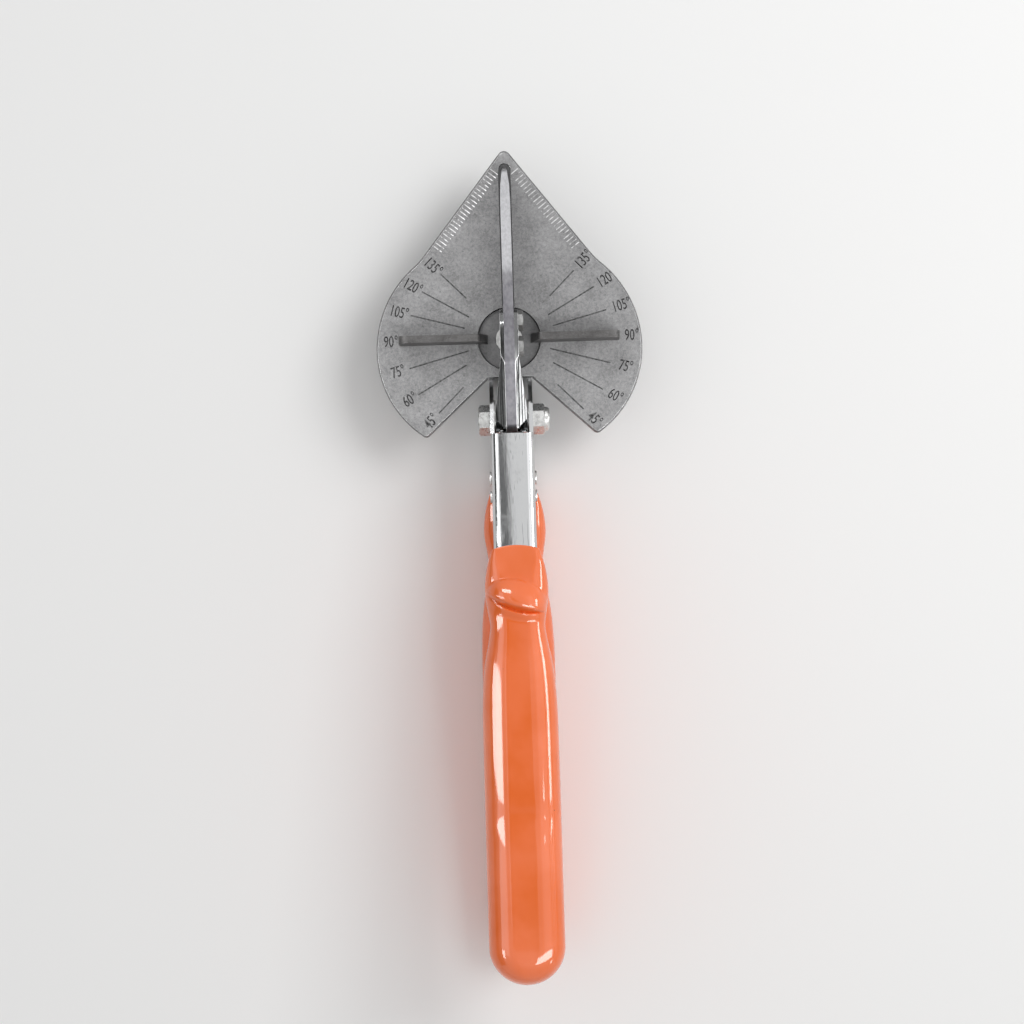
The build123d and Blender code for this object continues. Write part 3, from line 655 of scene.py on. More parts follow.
def row_tree():
    """Tree that sets copies of a piece along a straight line: Count of them, Step apart."""
    tree = bpy.data.node_groups.new("copies_in_a_row", "GeometryNodeTree")
    tree.interface.new_socket("Geometry", in_out="OUTPUT", socket_type="NodeSocketGeometry")
    for label, kind in (
            ("Geometry", "Geometry"), ("Count", "Int"), ("Step", "Vector"),
            ("Material", "Material")):
        tree.interface.new_socket(label, in_out="INPUT", socket_type=f"NodeSocket{kind}")
    start, line, place, realize, paint, end = (tree.nodes.new(kind) for kind in (
        "NodeGroupInput", "GeometryNodeMeshLine", "GeometryNodeInstanceOnPoints",
        "GeometryNodeRealizeInstances", "GeometryNodeSetMaterial", "NodeGroupOutput"))
    line.mode = "OFFSET"
    for giver, output, taker, socket in (
            (start, "Count", line, "Count"), (start, "Step", line, "Offset"),
            (line, "Mesh", place, "Points"), (start, "Geometry", place, "Instance"),
            (place, "Instances", realize, "Geometry"), (realize, "Geometry", paint, "Geometry"),
            (start, "Material", paint, "Material"), (paint, "Geometry", end, "Geometry")):
        tree.links.new(giver.outputs[output], taker.inputs[socket])
    return tree


def in_a_row(mesh, count, step, material):
    """Copies of a mesh in a straight row; the tree's inputs are set by their identifiers."""
    helper = placed("helper", mesh)
    modifier = helper.modifiers.new("row", "NODES")
    modifier.node_group = bpy.data.node_groups.get("copies_in_a_row") or row_tree()
    values = {"Count": count, "Step": tuple(step), "Material": MATERIALS[material]}
    for item in modifier.node_group.interface.items_tree:
        if item.name in values:
            modifier[item.identifier] = values[item.name]
    return applied(helper)


# ---------------------------------------------------------------- angle plate

FLANK_PEAK = Vector((0, 57.9 * MM, 0))  # where the straight flanks would meet
FLANK_FOOT = Vector((high("angle_plate").x * 0.628, 25.6 * MM, 0))
FIRST_TICK = 7.8 * MM  # from the peak, along the flank
TICK_INSET = 0.75 * MM  # from the flank
# each line of the scale, in degrees, with its inner and outer end and its number's middle, in
# millimetres from the centre
SCALE_LINES = {
    135: (17.7, 28.4, 32.2), 120: (13.7, 30.0, 33.7), 105: (13.7, 30.6, 34.7),
    90: (13.0, 30.0, 36.3), 75: (12.6, 31.4, 35.5), 60: (15.0, 32.2, 35.7), 45: (20.0, 30.9, 34.8),
}
NUMBER_WIDTH = 0.66  # of the letter's own width
CAP_HEIGHT = 0.69  # height of a digit over the size of its type
DEGREE_GAP = 0.35 * MM  # between a number and its degree mark
STROKE_GAIN = 0.035 * MM  # by which each side of a stroke is wider than the letter's own
GROOVE_RISE = 0.3  # of a groove's depth, by which its cutter stands over the surface
GROOVE_FLARE = 1.3  # width of the cutter up there, over the groove's width


def groove(start, end, width, depth):
    """V-shaped cutter between two points of the surface, pointed at both ends."""
    along = (end - start).normalized()
    across = Vector((-along.y, along.x, 0)) * (width / 2) * GROOVE_FLARE
    lift, sink = Vector((0, 0, depth * GROOVE_RISE)), Vector((0, 0, -depth))
    inset = along * width / 2
    bm = bmesh.new()
    a, b, c, d = (bm.verts.new(point + lift) for point in (
        start - across, start + across, end + across, end - across))
    e, f = bm.verts.new(start + inset + sink), bm.verts.new(end - inset + sink)
    for corners in ((a, b, c, d), (a, b, e), (c, d, f), (b, c, f, e), (d, a, e, f)):
        bm.faces.new(corners)
    return mesh_of(bm)


def tick_cutters(sizes, side):
    """Short grooves square to one flank, from its tip to its foot."""
    peak, foot = (Vector((place.x * side, place.y, 0)) for place in (FLANK_PEAK, FLANK_FOOT))
    along = (foot - peak).normalized()
    inwards = Vector((along.y, -along.x, 0)) * side
    first = peak + along * FIRST_TICK + inwards * TICK_INSET
    one = groove(first, first + inwards * sizes.tick_length, sizes.tick_width, sizes.depth)
    return in_a_row(one, sizes.tick_count, along * sizes.tick_pitch, "scored")


def scale_direction(label, side):
    """Direction from the centre of a line of the scale, on the right or the left."""
    angle = radians(label - 90)
    return Vector((cos(angle) * side, sin(angle), 0))


def glyphs(text_body, sizes):
    """Narrow letters, centred on the origin and as deep as the engraving on both sides of it."""
    text = bpy.data.curves.new("number", "FONT")
    text.body = text_body
    text.size = sizes.digit_height / CAP_HEIGHT
    text.align_x = text.align_y = "CENTER"
    text.extrude = sizes.depth
    text.resolution_u = 6
    text.offset = STROKE_GAIN
    return moved(merged(evaluated(text), WELD / 10), Matrix.Diagonal((NUMBER_WIDTH, 1, 1, 1)))


def number_cutter(label, side, radius, sizes):
    """A number with its degree mark, set along its line, reading towards the right."""
    digits, degree = glyphs(str(label), sizes), glyphs("°", sizes)
    end = max(corner.co.x for corner in digits.vertices)
    start = min(corner.co.x for corner in degree.vertices)
    moved(degree, Matrix.Translation((end + DEGREE_GAP - start, 0, 0)))
    turn = Matrix.Rotation(radians(label - 90) * side, 4, "Z")
    place = Matrix.Translation(scale_direction(label, side) * radius) @ turn
    return moved(joined([digits, degree]), place)


def scale_cutters(sizes):
    """Every line and number of the scale."""
    cutters = []
    for side in (1, -1):
        for label, (inner, outer, number) in SCALE_LINES.items():
            out = scale_direction(label, side) * MM
            cutters.append(groove(out * inner, out * outer, sizes.line_width, sizes.depth))
            cutters.append(number_cutter(label, side, number * MM, sizes))
    return joined(cutters)


class SHEAR_OT_plate(Operator):
    """Angle plate with its engraved scale"""

    bl_idname = "shear.plate"
    bl_label = "Angle plate"

    def execute(self, context):
        sizes = context.scene.shear_scale
        plate = softened(packed_copy("angle_plate", "plate", "edge"), 0.26 * MM, worn_and_painted_highlight=True)
        plate = cut(plate, joined([tick_cutters(sizes, 1), tick_cutters(sizes, -1)]), "scored")
        plate = cut(plate, scale_cutters(sizes), "engraved")
        add_piece("plate_scaled", shaded(plate), FIXED, stands_for=["angle_plate"])
        return {"FINISHED"}


# ---------------------------------------------------------------- grips

# stations along the soft sleeve: distance from its front and width, both in millimetres, share of
# its cover that is there, and radius of its corners over its depth
GRIP_STATIONS = (
    (0.0, 14.2, 0.50, 0.10), (4.5, 16.8, 0.70, 0.20), (9.0, 18.4, 1.0, 0.30),
    (14.0, 18.8, 1.0, 0.34), (19.0, 17.4, 1.0, 0.34), (23.5, 16.2, 1.0, 0.33),
    (28.5, 17.6, 1.0, 0.37), (34.0, 19.8, 1.0, 0.42), (41.0, 21.4, 1.0, 0.46),
    (50.0, 22.2, 1.0, 0.48), (75.0, 22.4, 1.0, 0.48),
)
CHANNEL_DEPTH = 12.6 * MM
CHANNEL_HALF_WIDTH = high("upper_handle").x
COVER_OUTER = 2.0 * MM  # soft cover over the web of the channel
COVER_OPEN = 1.4 * MM  # over its open side
FULL_DEPTH = CHANNEL_DEPTH + COVER_OUTER + COVER_OPEN
UPPER_SETBACK = 0.14 * MM  # of the upper grip's front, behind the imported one
END_SETBACK = 0.15 * MM
LIP_RADIUS, LIP_STEPS = 0.4 * MM, 5
FRONT_ARCH = 1.2 * MM  # how far the middle of the front edge runs ahead of its corners
ARCH_FADE = 7 * MM
HOLLOW_DEPTH = 10.0 * MM
HOLLOW_PLAY = 0.1 * MM  # by which the hollow is wider and deeper than the channel
FINE_STEP, BODY_STEP = 0.28 * MM, 1.2 * MM  # between rings: over the front and the dent, elsewhere
FINE_FRONT = 30 * MM
FINE_MIDDLE, FINE_REACH = 84 * MM, 14 * MM
DENT_PLACE, DENT_WIDTH = 80 * MM, 3.2 * MM
SWELL_PLACE, SWELL_WIDTH = 88 * MM, 4.5 * MM
FOLD_WIDTH = 3.0 * MM  # of the soft fold behind the crease of the thumb stop
END_STEPS = 16
GRIPS = {  # body, slope of its web along the grip, and side of the web
    "upper_grip": (FIXED, radians(7.0), 1),
    "lower_grip": (BLADE_LEVER, radians(1.5), -1),
}


def eased(table, column, place):
    """Value of a column of a table at a place, on a smooth curve through its rows."""
    if place >= table[-1][0]:
        return table[-1][column]
    index = max(i for i, row in enumerate(table) if row[0] <= place)
    before, start = table[max(index - 1, 0)], table[index]
    end, after = table[index + 1], table[min(index + 2, len(table) - 1)]
    share = (place - start[0]) / (end[0] - start[0])
    width = end[0] - start[0]
    slope_in = (end[column] - before[column]) / (end[0] - before[0]) * width
    slope_out = (after[column] - start[column]) / (after[0] - start[0]) * width
    square, cube = share ** 2, share ** 3
    return (
        (2 * cube - 3 * square + 1) * start[column] + (cube - 2 * square + share) * slope_in
        + (3 * square - 2 * cube) * end[column] + (cube - square) * slope_out)


def smoothstep(start, end, value):
    """0 at start, 1 at end and a soft step between."""
    share = min(max((value - start) / (end - start), 0.0), 1.0)
    return share * share * (3 - 2 * share)


def rounded_ring(width, depth, corner, side_steps=8, corner_steps=14, top_steps=12):
    """Points of a rounded rectangle, as many on each side whatever its size."""
    half_width, half_depth = width / 2, depth / 2
    corner = min(corner, half_width * 0.999, half_depth * 0.999)
    quarter = [
        (half_width, (half_depth - corner) * step / side_steps) for step in range(side_steps)]
    for step in range(corner_steps):
        angle = pi / 2 * step / corner_steps
        quarter.append((
            half_width - corner + corner * cos(angle), half_depth - corner + corner * sin(angle)))
    quarter += [
        ((half_width - corner) * (1 - step / top_steps), half_depth)
        for step in range(top_steps + 1)]
    left = [(-u, v) for u, v in reversed(quarter[1:-1])]
    upper = quarter + left + [(-quarter[0][0], quarter[0][1])]
    return upper + [(u, -v) for u, v in reversed(upper[1:-1])]


def guard_height(sizes, u, s):
    """Height of the slanting, eye-shaped thumb stop: soft towards the front, a crease behind it."""
    tilt = sizes.guard_tilt
    s -= sizes.guard_centre
    reach = (u * cos(tilt) + s * sin(tilt)) / sizes.guard_reach
    behind = -u * sin(tilt) + s * cos(tilt)
    lens = 1 - reach * reach
    if lens <= 0:
        return 0.0
    crest = sizes.guard_rise * lens ** 0.75
    if behind < 0:
        share = min(-behind / (sizes.guard_front * sqrt(lens)), 1.0)
        return crest * (1 - share * share) ** 0.85
    rear = sizes.guard_rear * lens
    steep = 1 - smoothstep(0.45, 1.0, behind / rear)
    soft = 1 - smoothstep(0.0, rear * 0.95, behind)
    fold = smoothstep(0.96, 1.15, behind / rear)
    fold *= 1 - smoothstep(rear, rear + FOLD_WIDTH, behind)
    return crest * (0.86 * steep + 0.36 * fold + 0.14 * soft)


def dent_height(sizes, u, s):
    """Shallow dent across the upper grip, with a slight swell behind it."""
    across = 1 - smoothstep(5.5 * MM, 10.0 * MM, abs(u))
    dent = exp(-((s - DENT_PLACE) / DENT_WIDTH) ** 2)
    swell = exp(-((s - SWELL_PLACE) / SWELL_WIDTH) ** 2)
    return sizes.dent_depth * across * (0.6 * swell - dent)


def web_height(node, y):
    """Height of the outer face of the web in a grip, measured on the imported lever."""
    handle = node.replace("grip", "handle")
    _, slope, side = GRIPS[node]
    rear = low(handle).y
    corners = [vertex.co for vertex in frame["nodes"][handle].data.vertices]
    rear_low = min(corner.z for corner in corners if corner.y < rear + MM)
    rear_height = high(handle).z if side > 0 else rear_low
    return rear_height - side * (y - rear) * tan(slope)


def grip_mesh(node, sizes):
    """Sleeve of a lever, from the hollow at its front to its round end."""
    _, slope, side = GRIPS[node]
    along = Vector((0, -cos(slope), side * sin(slope)))
    outwards = Vector((0, sin(slope), side * cos(slope)))
    front_y = high(node).y - UPPER_SETBACK * (side > 0)
    web = Vector((0, front_y, web_height(node, front_y)))
    start = web - outwards * (FULL_DEPTH / 2 - COVER_OUTER)
    front_width, full_width = GRIP_STATIONS[0][1] * MM, GRIP_STATIONS[-1][1] * MM
    end_radius = full_width / 2
    straight = (front_y - low(node).y) / cos(slope) - END_SETBACK - end_radius

    def point(u, v, s):
        arch = FRONT_ARCH * (2 * u / front_width) ** 2 * exp(-s / ARCH_FADE)
        return start + Vector((u, 0, 0)) + outwards * v + along * (s + arch)

    def section(s, inset=0.0):
        width, cover, roundness = (eased(GRIP_STATIONS, column, s / MM) for column in (1, 2, 3))
        depth = CHANNEL_DEPTH + (COVER_OUTER + COVER_OPEN) * cover
        corner = max(depth * roundness - inset, 0.2 * MM)
        return rounded_ring(width * MM - 2 * inset, depth - 2 * inset, corner)

    def raised(u, v, s):
        lift = guard_height(sizes, u, s)
        if side > 0:
            lift += dent_height(sizes, u, s)
        return point(u, v + lift * smoothstep(0.0, FULL_DEPTH * 0.42, v), s)

    hollow = rounded_ring(
        CHANNEL_HALF_WIDTH * 2 + HOLLOW_PLAY, CHANNEL_DEPTH + HOLLOW_PLAY, LIP_RADIUS)
    middle = FULL_DEPTH / 2 - COVER_OUTER - CHANNEL_DEPTH / 2
    rings = [[point(0, middle, HOLLOW_DEPTH)]]
    rings += [[point(u, v + middle, s) for u, v in hollow] for s in (HOLLOW_DEPTH, 0.0)]
    for step in range(LIP_STEPS + 1):
        angle = pi / 2 * step / LIP_STEPS
        s = LIP_RADIUS * (1 - cos(angle))
        rings.append([raised(u, v, s) for u, v in section(0.0, LIP_RADIUS * (1 - sin(angle)))])
    s = LIP_RADIUS + FINE_STEP
    while s < straight:
        rings.append([raised(u, v, s) for u, v in section(s)])
        fine = s < FINE_FRONT or abs(s - FINE_MIDDLE) < FINE_REACH
        s += FINE_STEP if fine else BODY_STEP
    for step in range(END_STEPS):
        share = sin(pi / 2 * step / END_STEPS)
        width, depth = full_width * sqrt(1 - share ** 2), FULL_DEPTH * sqrt(1 - share ** 4)
        corner = depth * GRIP_STATIONS[-1][3] * min(1, width / depth)
        rings.append([
            point(u, v, straight + share * end_radius)
            for u, v in rounded_ring(width, depth, corner)])
    rings.append([point(0, 0, straight + end_radius)])
    bm = bmesh.new()
    bridge(bm, [[bm.verts.new(corner) for corner in ring] for ring in rings])
    return mesh_of(bm, node)


class SHEAR_OT_grips(Operator):
    """Soft grips with their thumb stops"""

    bl_idname = "shear.grips"
    bl_label = "Grips"

    def execute(self, context):
        for node, (body, _, _) in GRIPS.items():
            mesh = shaded(grip_mesh(node, context.scene.shear_grips), angle=60)
            add_piece(f"{node}_soft", mesh, body, "grip", [node])
        return {"FINISHED"}


# ---------------------------------------------------------------- levers, blade and fence


class SHEAR_OT_levers(Operator):
    """The two chromed levers"""

    bl_idname = "shear.levers"
    bl_label = "Levers"

    def execute(self, context):
        dressed("upper_handle", FIXED, "chrome", 0.2 * MM, segments=3)
        dressed("lower_handle", BLADE_LEVER, "formed_chrome", 0.4 * MM, segments=4, edge="eave")
        dressed("jaw_bar", FIXED, "bar", 0.2 * MM)
        return {"FINISHED"}


class SHEAR_OT_blade(Operator):
    """Blade, its folded holder and the strip that it closes on"""

    bl_idname = "shear.blade"
    bl_label = "Blade"

    def execute(self, context):
        dressed("blade", BLADE_LEVER, "blade", 0.03 * MM, segments=1)
        dressed("blade_holder", BLADE_LEVER, "holder", 0.35 * MM, segments=4)
        dressed("anvil_strip", FIXED, "anvil", 0.1 * MM)
        return {"FINISHED"}


class SHEAR_OT_fence(Operator):
    """Swivelling fence with its stud, nut and washer"""

    bl_idname = "shear.fence"
    bl_label = "Fence"

    def execute(self, context):
        dressed("fence", FENCE_ARM, "fence", 0.3 * MM, segments=3)
        dressed("fence_stud", FIXED, "zinc", 0.15 * MM)
        dressed("fence_washer", FIXED, "zinc", 0.05 * MM)
        lowest, highest = low("fence_nut"), high("fence_nut")
        nut = hexagon_head(highest.y - lowest.y, highest.z - lowest.z)
        moved(nut, facing((0, 0, -1), Vector((0, 0, highest.z))))
        add_piece("fence_nut_cut", shaded(nut), FIXED, "zinc", ["fence_nut"])
        return {"FINISHED"}


# ---------------------------------------------------------------- fasteners


BLADE_SCREW = (2.7 * MM, 1.5 * MM, 1.2 * MM)  # radius of head and shank, height of head
BLADE_NUT_FLATS = 5.5 * MM
HEAD_OVER_SHANK = 1.8  # of the countersunk screws: their heads fill their nodes' width
SCREW_CROSS = (0.55, 0.2)  # reach and width of the arms of a recess, over the head's radius
PAN_PROFILE = ((0, 0), (1, 0), (1, 0.35), (0.93, 0.68), (0.74, 0.9), (0.4, 0.99), (0, 1))


def pan_head(radius, height):
    """Domed screw head from z = 0 up, with a cross recess."""
    head = turned([(radius * r, height * z) for r, z in PAN_PROFILE])
    reach, width = (radius * share for share in SCREW_CROSS)
    size = Matrix.Diagonal((reach * 2, width, height * 1.2, 1))
    bm = bmesh.new()
    for quarter in (0, 1):
        turn = Matrix.Rotation(pi / 2 * quarter, 4, "Z")
        place = turn @ Matrix.Translation((0, 0, height * 0.98)) @ size
        bmesh.ops.create_cube(bm, size=1, matrix=place)
    return cut(head, mesh_of(bm))


def shank(radius, length):
    """Round rod from z = 0 down, chamfered at its end."""
    chamfer = radius * 0.2
    return turned([
        (0, -length), (radius - chamfer, -length), (radius, chamfer - length), (radius, 0), (0, 0)])


def screws(node, head_radius, shank_radius, head_height, axis, body, material="zinc"):
    """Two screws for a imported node, heads at its low end along x or z; first place and step."""
    lowest, highest = low(node), high(node)
    first = Vector((0, lowest.y + head_radius, (lowest.z + highest.z) / 2))
    first[axis] = lowest[axis] + head_height
    step = Vector((0, highest.y - lowest.y - 2 * head_radius, 0))
    length = highest[axis] - first[axis]
    one = joined([pan_head(head_radius, head_height), shank(shank_radius, length)])
    moved(one, facing(-Matrix.Identity(3)[axis], first))
    row = in_a_row(one, 2, step, material)
    add_piece(f"{node}_turned", shaded(row), body, material, [node])
    return first, step


class SHEAR_OT_fasteners(Operator):
    """Screws, nuts and rivets"""

    bl_idname = "shear.fasteners"
    bl_label = "Fasteners"

    def execute(self, context):
        first, step = screws("blade_screws", *BLADE_SCREW, 0, BLADE_LEVER, "dull_zinc")
        start, end = low("blade_nuts").x, high("blade_nuts").x
        nut = hexagon_head(BLADE_NUT_FLATS, end - start)
        moved(nut, facing((1, 0, 0), Vector((start, first.y, first.z))))
        row = in_a_row(nut, 2, step, "dull_zinc")
        add_piece("blade_nuts_cut", shaded(row), BLADE_LEVER, "dull_zinc", ["blade_nuts"])
        for node in ("anvil_screws", "plate_screws"):
            head = high(node).x
            radius = head / HEAD_OVER_SHANK
            screws(node, head, radius, radius * 1.1, 2, FIXED)
        self.rivets()
        return {"FINISHED"}

    @staticmethod
    def rivets():
        """Rivets of the bar, with a domed head at each end."""
        lowest, highest = low("jaw_rivets"), high("jaw_rivets")
        radius, reach = (highest.z - lowest.z) / 2, highest.x
        profile = [(radius * share, inset * MM - reach) for share, inset in (
            (0, 0), (0.6, 0.08), (0.9, 0.4), (1, 0.8), (1, 1.2), (0.62, 1.2))]
        profile += [(r, -z) for r, z in reversed(profile)]
        place = Vector((0, lowest.y + radius, lowest.z + radius))
        one = moved(turned(profile), facing((1, 0, 0), place))
        row = in_a_row(one, 2, Vector((0, highest.y - lowest.y - 2 * radius, 0)), "zinc")
        add_piece("jaw_rivets_domed", shaded(row), FIXED, "zinc", ["jaw_rivets"])


BOLT_RADIUS = 2.45 * MM
BOLT_TIP = (2.0 * MM, 0.5 * MM)  # radius and length
NUT_BORE = 2.46 * MM
NUT_BODY = 3.6 * MM  # height of the locking nut's hexagon
COLLAR_RADIUS = 3.6 * MM
COLLAR_ROUND = 0.5 * MM
COLLAR_SINK = 0.3 * MM  # of the collar into the hexagon


def across_pivot(mesh, x=0.0, side=1):
    """The mesh itself, turned from Z to the pivot's axis and moved to a place along it."""
    return moved(mesh, facing((side, 0, 0), Vector((x, PIVOT.y, PIVOT.z))))


class SHEAR_OT_pivot(Operator):
    """Pivot bolt, its locking nut and the shims"""

    bl_idname = "shear.pivot"
    bl_label = "Pivot"

    def execute(self, context):
        lowest, highest = low("pivot_bolt"), high("pivot_bolt")
        flats = highest.z - lowest.z
        wall = CHANNEL_HALF_WIDTH
        head = across_pivot(hexagon_head(flats, -wall - lowest.x), -wall, side=-1)
        end = highest.x - 0.05 * MM
        tip_radius, tip_length = BOLT_TIP
        rod = across_pivot(turned([
            (0, -wall), (BOLT_RADIUS, -wall), (BOLT_RADIUS, end - tip_length), (tip_radius, end),
            (0, end)]))
        add_piece("pivot_bolt_turned", shaded(joined([head, rod])), FIXED, "bolt", ["pivot_bolt"])
        start, end = low("pivot_nut").x, high("pivot_nut").x
        hexagon = across_pivot(hexagon_head(flats, NUT_BODY), start)
        start += NUT_BODY - COLLAR_SINK
        collar = across_pivot(turned([
            (NUT_BORE, start), (COLLAR_RADIUS, start), (COLLAR_RADIUS, end - COLLAR_ROUND),
            (COLLAR_RADIUS - COLLAR_ROUND, end), (NUT_BORE, end - 0.05 * MM), (NUT_BORE, start)]))
        add_piece("pivot_nut_cut", shaded(joined([hexagon, collar])), FIXED, "bolt", ["pivot_nut"])
        dressed("pivot_shims", FIXED, "zinc", 0.05 * MM, segments=1)
        return {"FINISHED"}


class SHEAR_OT_latch(Operator):
    """Latch hook and its two cross pins"""

    bl_idname = "shear.latch"
    bl_label = "Latch"

    def execute(self, context):
        dressed("latch_hook", LATCH, "zinc", 0.2 * MM)
        dressed("latch_catch_pin", FIXED, "zinc", 0.2 * MM)
        dressed("latch_pivot_pin", BLADE_LEVER, "zinc", 0.2 * MM)
        return {"FINISHED"}


# ---------------------------------------------------------------- return spring

SPRING_TURNS = 8
CLOSED_TURNS = 1  # turns wound close, at each end
PITCH_CHANGE = 0.25  # half the turn over which the pitch changes
WIRE_RADIUS = 0.6 * MM
CLOSED_PITCH = 1.7 * MM
TURN_STEPS = 24


def spring_mesh(lowest, highest, middle_y):
    """Wire of the return spring, close-wound for a turn at each end."""
    radius = highest.x - WIRE_RADIUS
    height = lowest.z + WIRE_RADIUS
    rise = highest.z - WIRE_RADIUS - height - 2 * CLOSED_TURNS * CLOSED_PITCH
    widening = rise / (SPRING_TURNS - 2 * CLOSED_TURNS) - CLOSED_PITCH
    wire = bpy.data.curves.new("wire", "CURVE")
    wire.dimensions = "3D"
    wire.bevel_depth = WIRE_RADIUS
    wire.bevel_resolution = 4
    wire.use_fill_caps = True
    spline = wire.splines.new("POLY")
    spline.points.add(SPRING_TURNS * TURN_STEPS)
    for step, knot in enumerate(spline.points):
        turns = step / TURN_STEPS
        angle = 2 * pi * turns
        knot.co = (radius * cos(angle), middle_y + radius * sin(angle), height, 1)
        from_end = min(turns, SPRING_TURNS - turns) - CLOSED_TURNS
        openness = smoothstep(-PITCH_CHANGE, PITCH_CHANGE, from_end)
        height += (CLOSED_PITCH + widening * openness) / TURN_STEPS
    return shaded(evaluated(wire))


class SHEAR_OT_spring(Operator):
    """Return spring between the levers"""

    bl_idname = "shear.spring"
    bl_label = "Return spring"

    def execute(self, context):
        lowest, highest = low("return_spring"), high("return_spring")
        middle_y = (lowest.y + highest.y) / 2
        spring = add_piece(
            "return_spring_wound", spring_mesh(lowest, highest, middle_y), None, "spring")
        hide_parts("return_spring")
        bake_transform(spring)
        return {"FINISHED"}


# ---------------------------------------------------------------- stage

VIEW_CENTRE = Vector((-0.7, -52.2, 0)) * MM  # point of the plate's plane in mid picture
LENS, SENSOR = 105.0, 36.0
FLOOR_REACH = 1.2
KEY_PLACE, KEY_SIZE = (0.52, 0.28, 0.72), 0.5
# small lamps, each set where it shows as a glint: point of the object in millimetres, lean of its
# face to the right and to the tip in degrees, distance, width and length in metres, brightness
GLINTS = {
    "shoulder_lamp": ((-6.0, -110, 27), (-27, 7), 0.55, 0.46, 0.09, 12.0),
    "streak_lamp": ((5.8, -149, 32), (20, 8), 0.7, 0.07, 0.024, 12.0),
    "dome_lamp": ((-3.6, -75.1, 26.1), (-9, 23), 0.6, 0.24, 0.13, 14.0),
    "horn_lamp": ((6.0, -78.9, 25.7), (38, 7), 0.6, 0.14, 0.2, 12.0),
    "crease_lamp": ((3.8, -84.0, 24.9), (15, -8), 0.6, 0.62, 0.15, 12.0),
    "rear_left_lamp": ((-7.0, -176, 35), (-27, 1), 0.6, 0.12, 0.12, 11.0),
    "rear_right_lamp": ((6.4, -182.8, 36), (32, -12), 0.6, 0.06, 0.06, 12.0),
}
WALL_DISTANCE, STRIP_DISTANCE = 0.61, 0.6
WALL_FOOT, WALL_TOP, WALL_BRIGHTNESS = 0.02, 0.37, 0.04
WALL_ENDS = (-0.55, 0.35)  # along the blade


def long_panel(start, end, rear, front):
    """Corners of a panel between two (x, z) places, from its rear end to its front end."""
    (x1, z1), (x2, z2) = start, end
    return ((x1, rear, z1), (x2, rear, z2), (x2, front, z2), (x1, front, z1))


# panels that only reflections see: corners in metres, and brightness
PANELS = {
    "dark_over_web": (
        ((-0.15, -0.078, 0.8), (0.066, -0.078, 0.8), (-0.086, 0.26, 0.8), (-0.15, 0.26, 0.8)),
        0.16),
    "dusk_over_grip": (
        ((-0.15, -0.11, 0.8), (0.08, -0.11, 0.8), (0.066, -0.078, 0.8), (-0.15, -0.078, 0.8)), 0.4),
    "bright_over_web": (long_panel((-0.19, 0.8), (-0.152, 0.8), -0.09, 0.28), 2.0),
    "bright_left": (long_panel((-0.85, 0.45), (-0.38, 0.75), -0.25, 0.45), 2.2),
    "soft_right": (long_panel((0.3, 0.75), (0.8, 0.4), -0.25, 0.45), 1.5),
}
# dark walls and the bright strips in front of them: foot and height in metres, and brightness
WALLS = {
    "left": ((0.21, 0.03, 0.3),),
    "right": tuple((foot, 0.05, 2.2) for foot in (0.07, 0.17, 0.27)),
}


def wall_panels():
    """Dark walls left and right, with bright strips that ripple in the formed chrome."""
    panels = {}
    for name, strips in WALLS.items():
        side = 1 if name == "right" else -1
        far, near = side * WALL_DISTANCE, side * STRIP_DISTANCE
        wall = long_panel((far, WALL_TOP), (far, WALL_FOOT), *WALL_ENDS)
        panels[f"dark_{name}_wall"] = (wall, WALL_BRIGHTNESS)
        for index, (foot, height, brightness) in enumerate(strips):
            strip = long_panel((near, foot + height), (near, foot), *WALL_ENDS)
            panels[f"bright_{name}_strip_{index}"] = (strip, brightness)
    return panels


def reflected(point, lean_right, lean_tip, distance, eye):
    """Place that a face at a point, leaning by two angles, mirrors to the eye."""
    normal = Vector((tan(lean_right), tan(lean_tip), 1)).normalized()
    to_eye = (eye - point).normalized()
    return point + (2 * normal.dot(to_eye) * normal - to_eye) * distance


def soft_light(name, place, aim, width, length, energy):
    """Area light at a place, facing a point; its length runs along the blade."""
    lamp = bpy.data.lights.new(name, "AREA")
    lamp.shape = "RECTANGLE"
    lamp.size, lamp.size_y = width, length
    lamp.energy = energy
    light = placed(name, lamp)
    back = (Vector(place) - Vector(aim)).normalized()
    across = Vector((0, 1, 0)).cross(back).normalized()
    turn = Matrix((across, back.cross(across), back)).transposed().to_4x4()
    light.matrix_world = Matrix.Translation(place) @ turn
    return light


def reflected_panel(name, corners, brightness):
    """Panel that lights nothing and shows only in glossy surfaces."""
    finish = Finish(f"{name}_glow")
    glow = finish.add("ShaderNodeEmission", {}, {"Color": (1, 1, 1), "Strength": brightness})
    finish.add("ShaderNodeOutputMaterial", {}, {"Surface": glow.outputs["Emission"]})
    mesh = bpy.data.meshes.new(name)
    mesh.from_pydata(corners, [], [range(len(corners))])
    mesh.materials.append(finish.owner)
    panel = placed(name, mesh)
    panel.visible_camera = panel.visible_diffuse = panel.visible_shadow = False
    panel.visible_transmission = panel.visible_volume_scatter = False


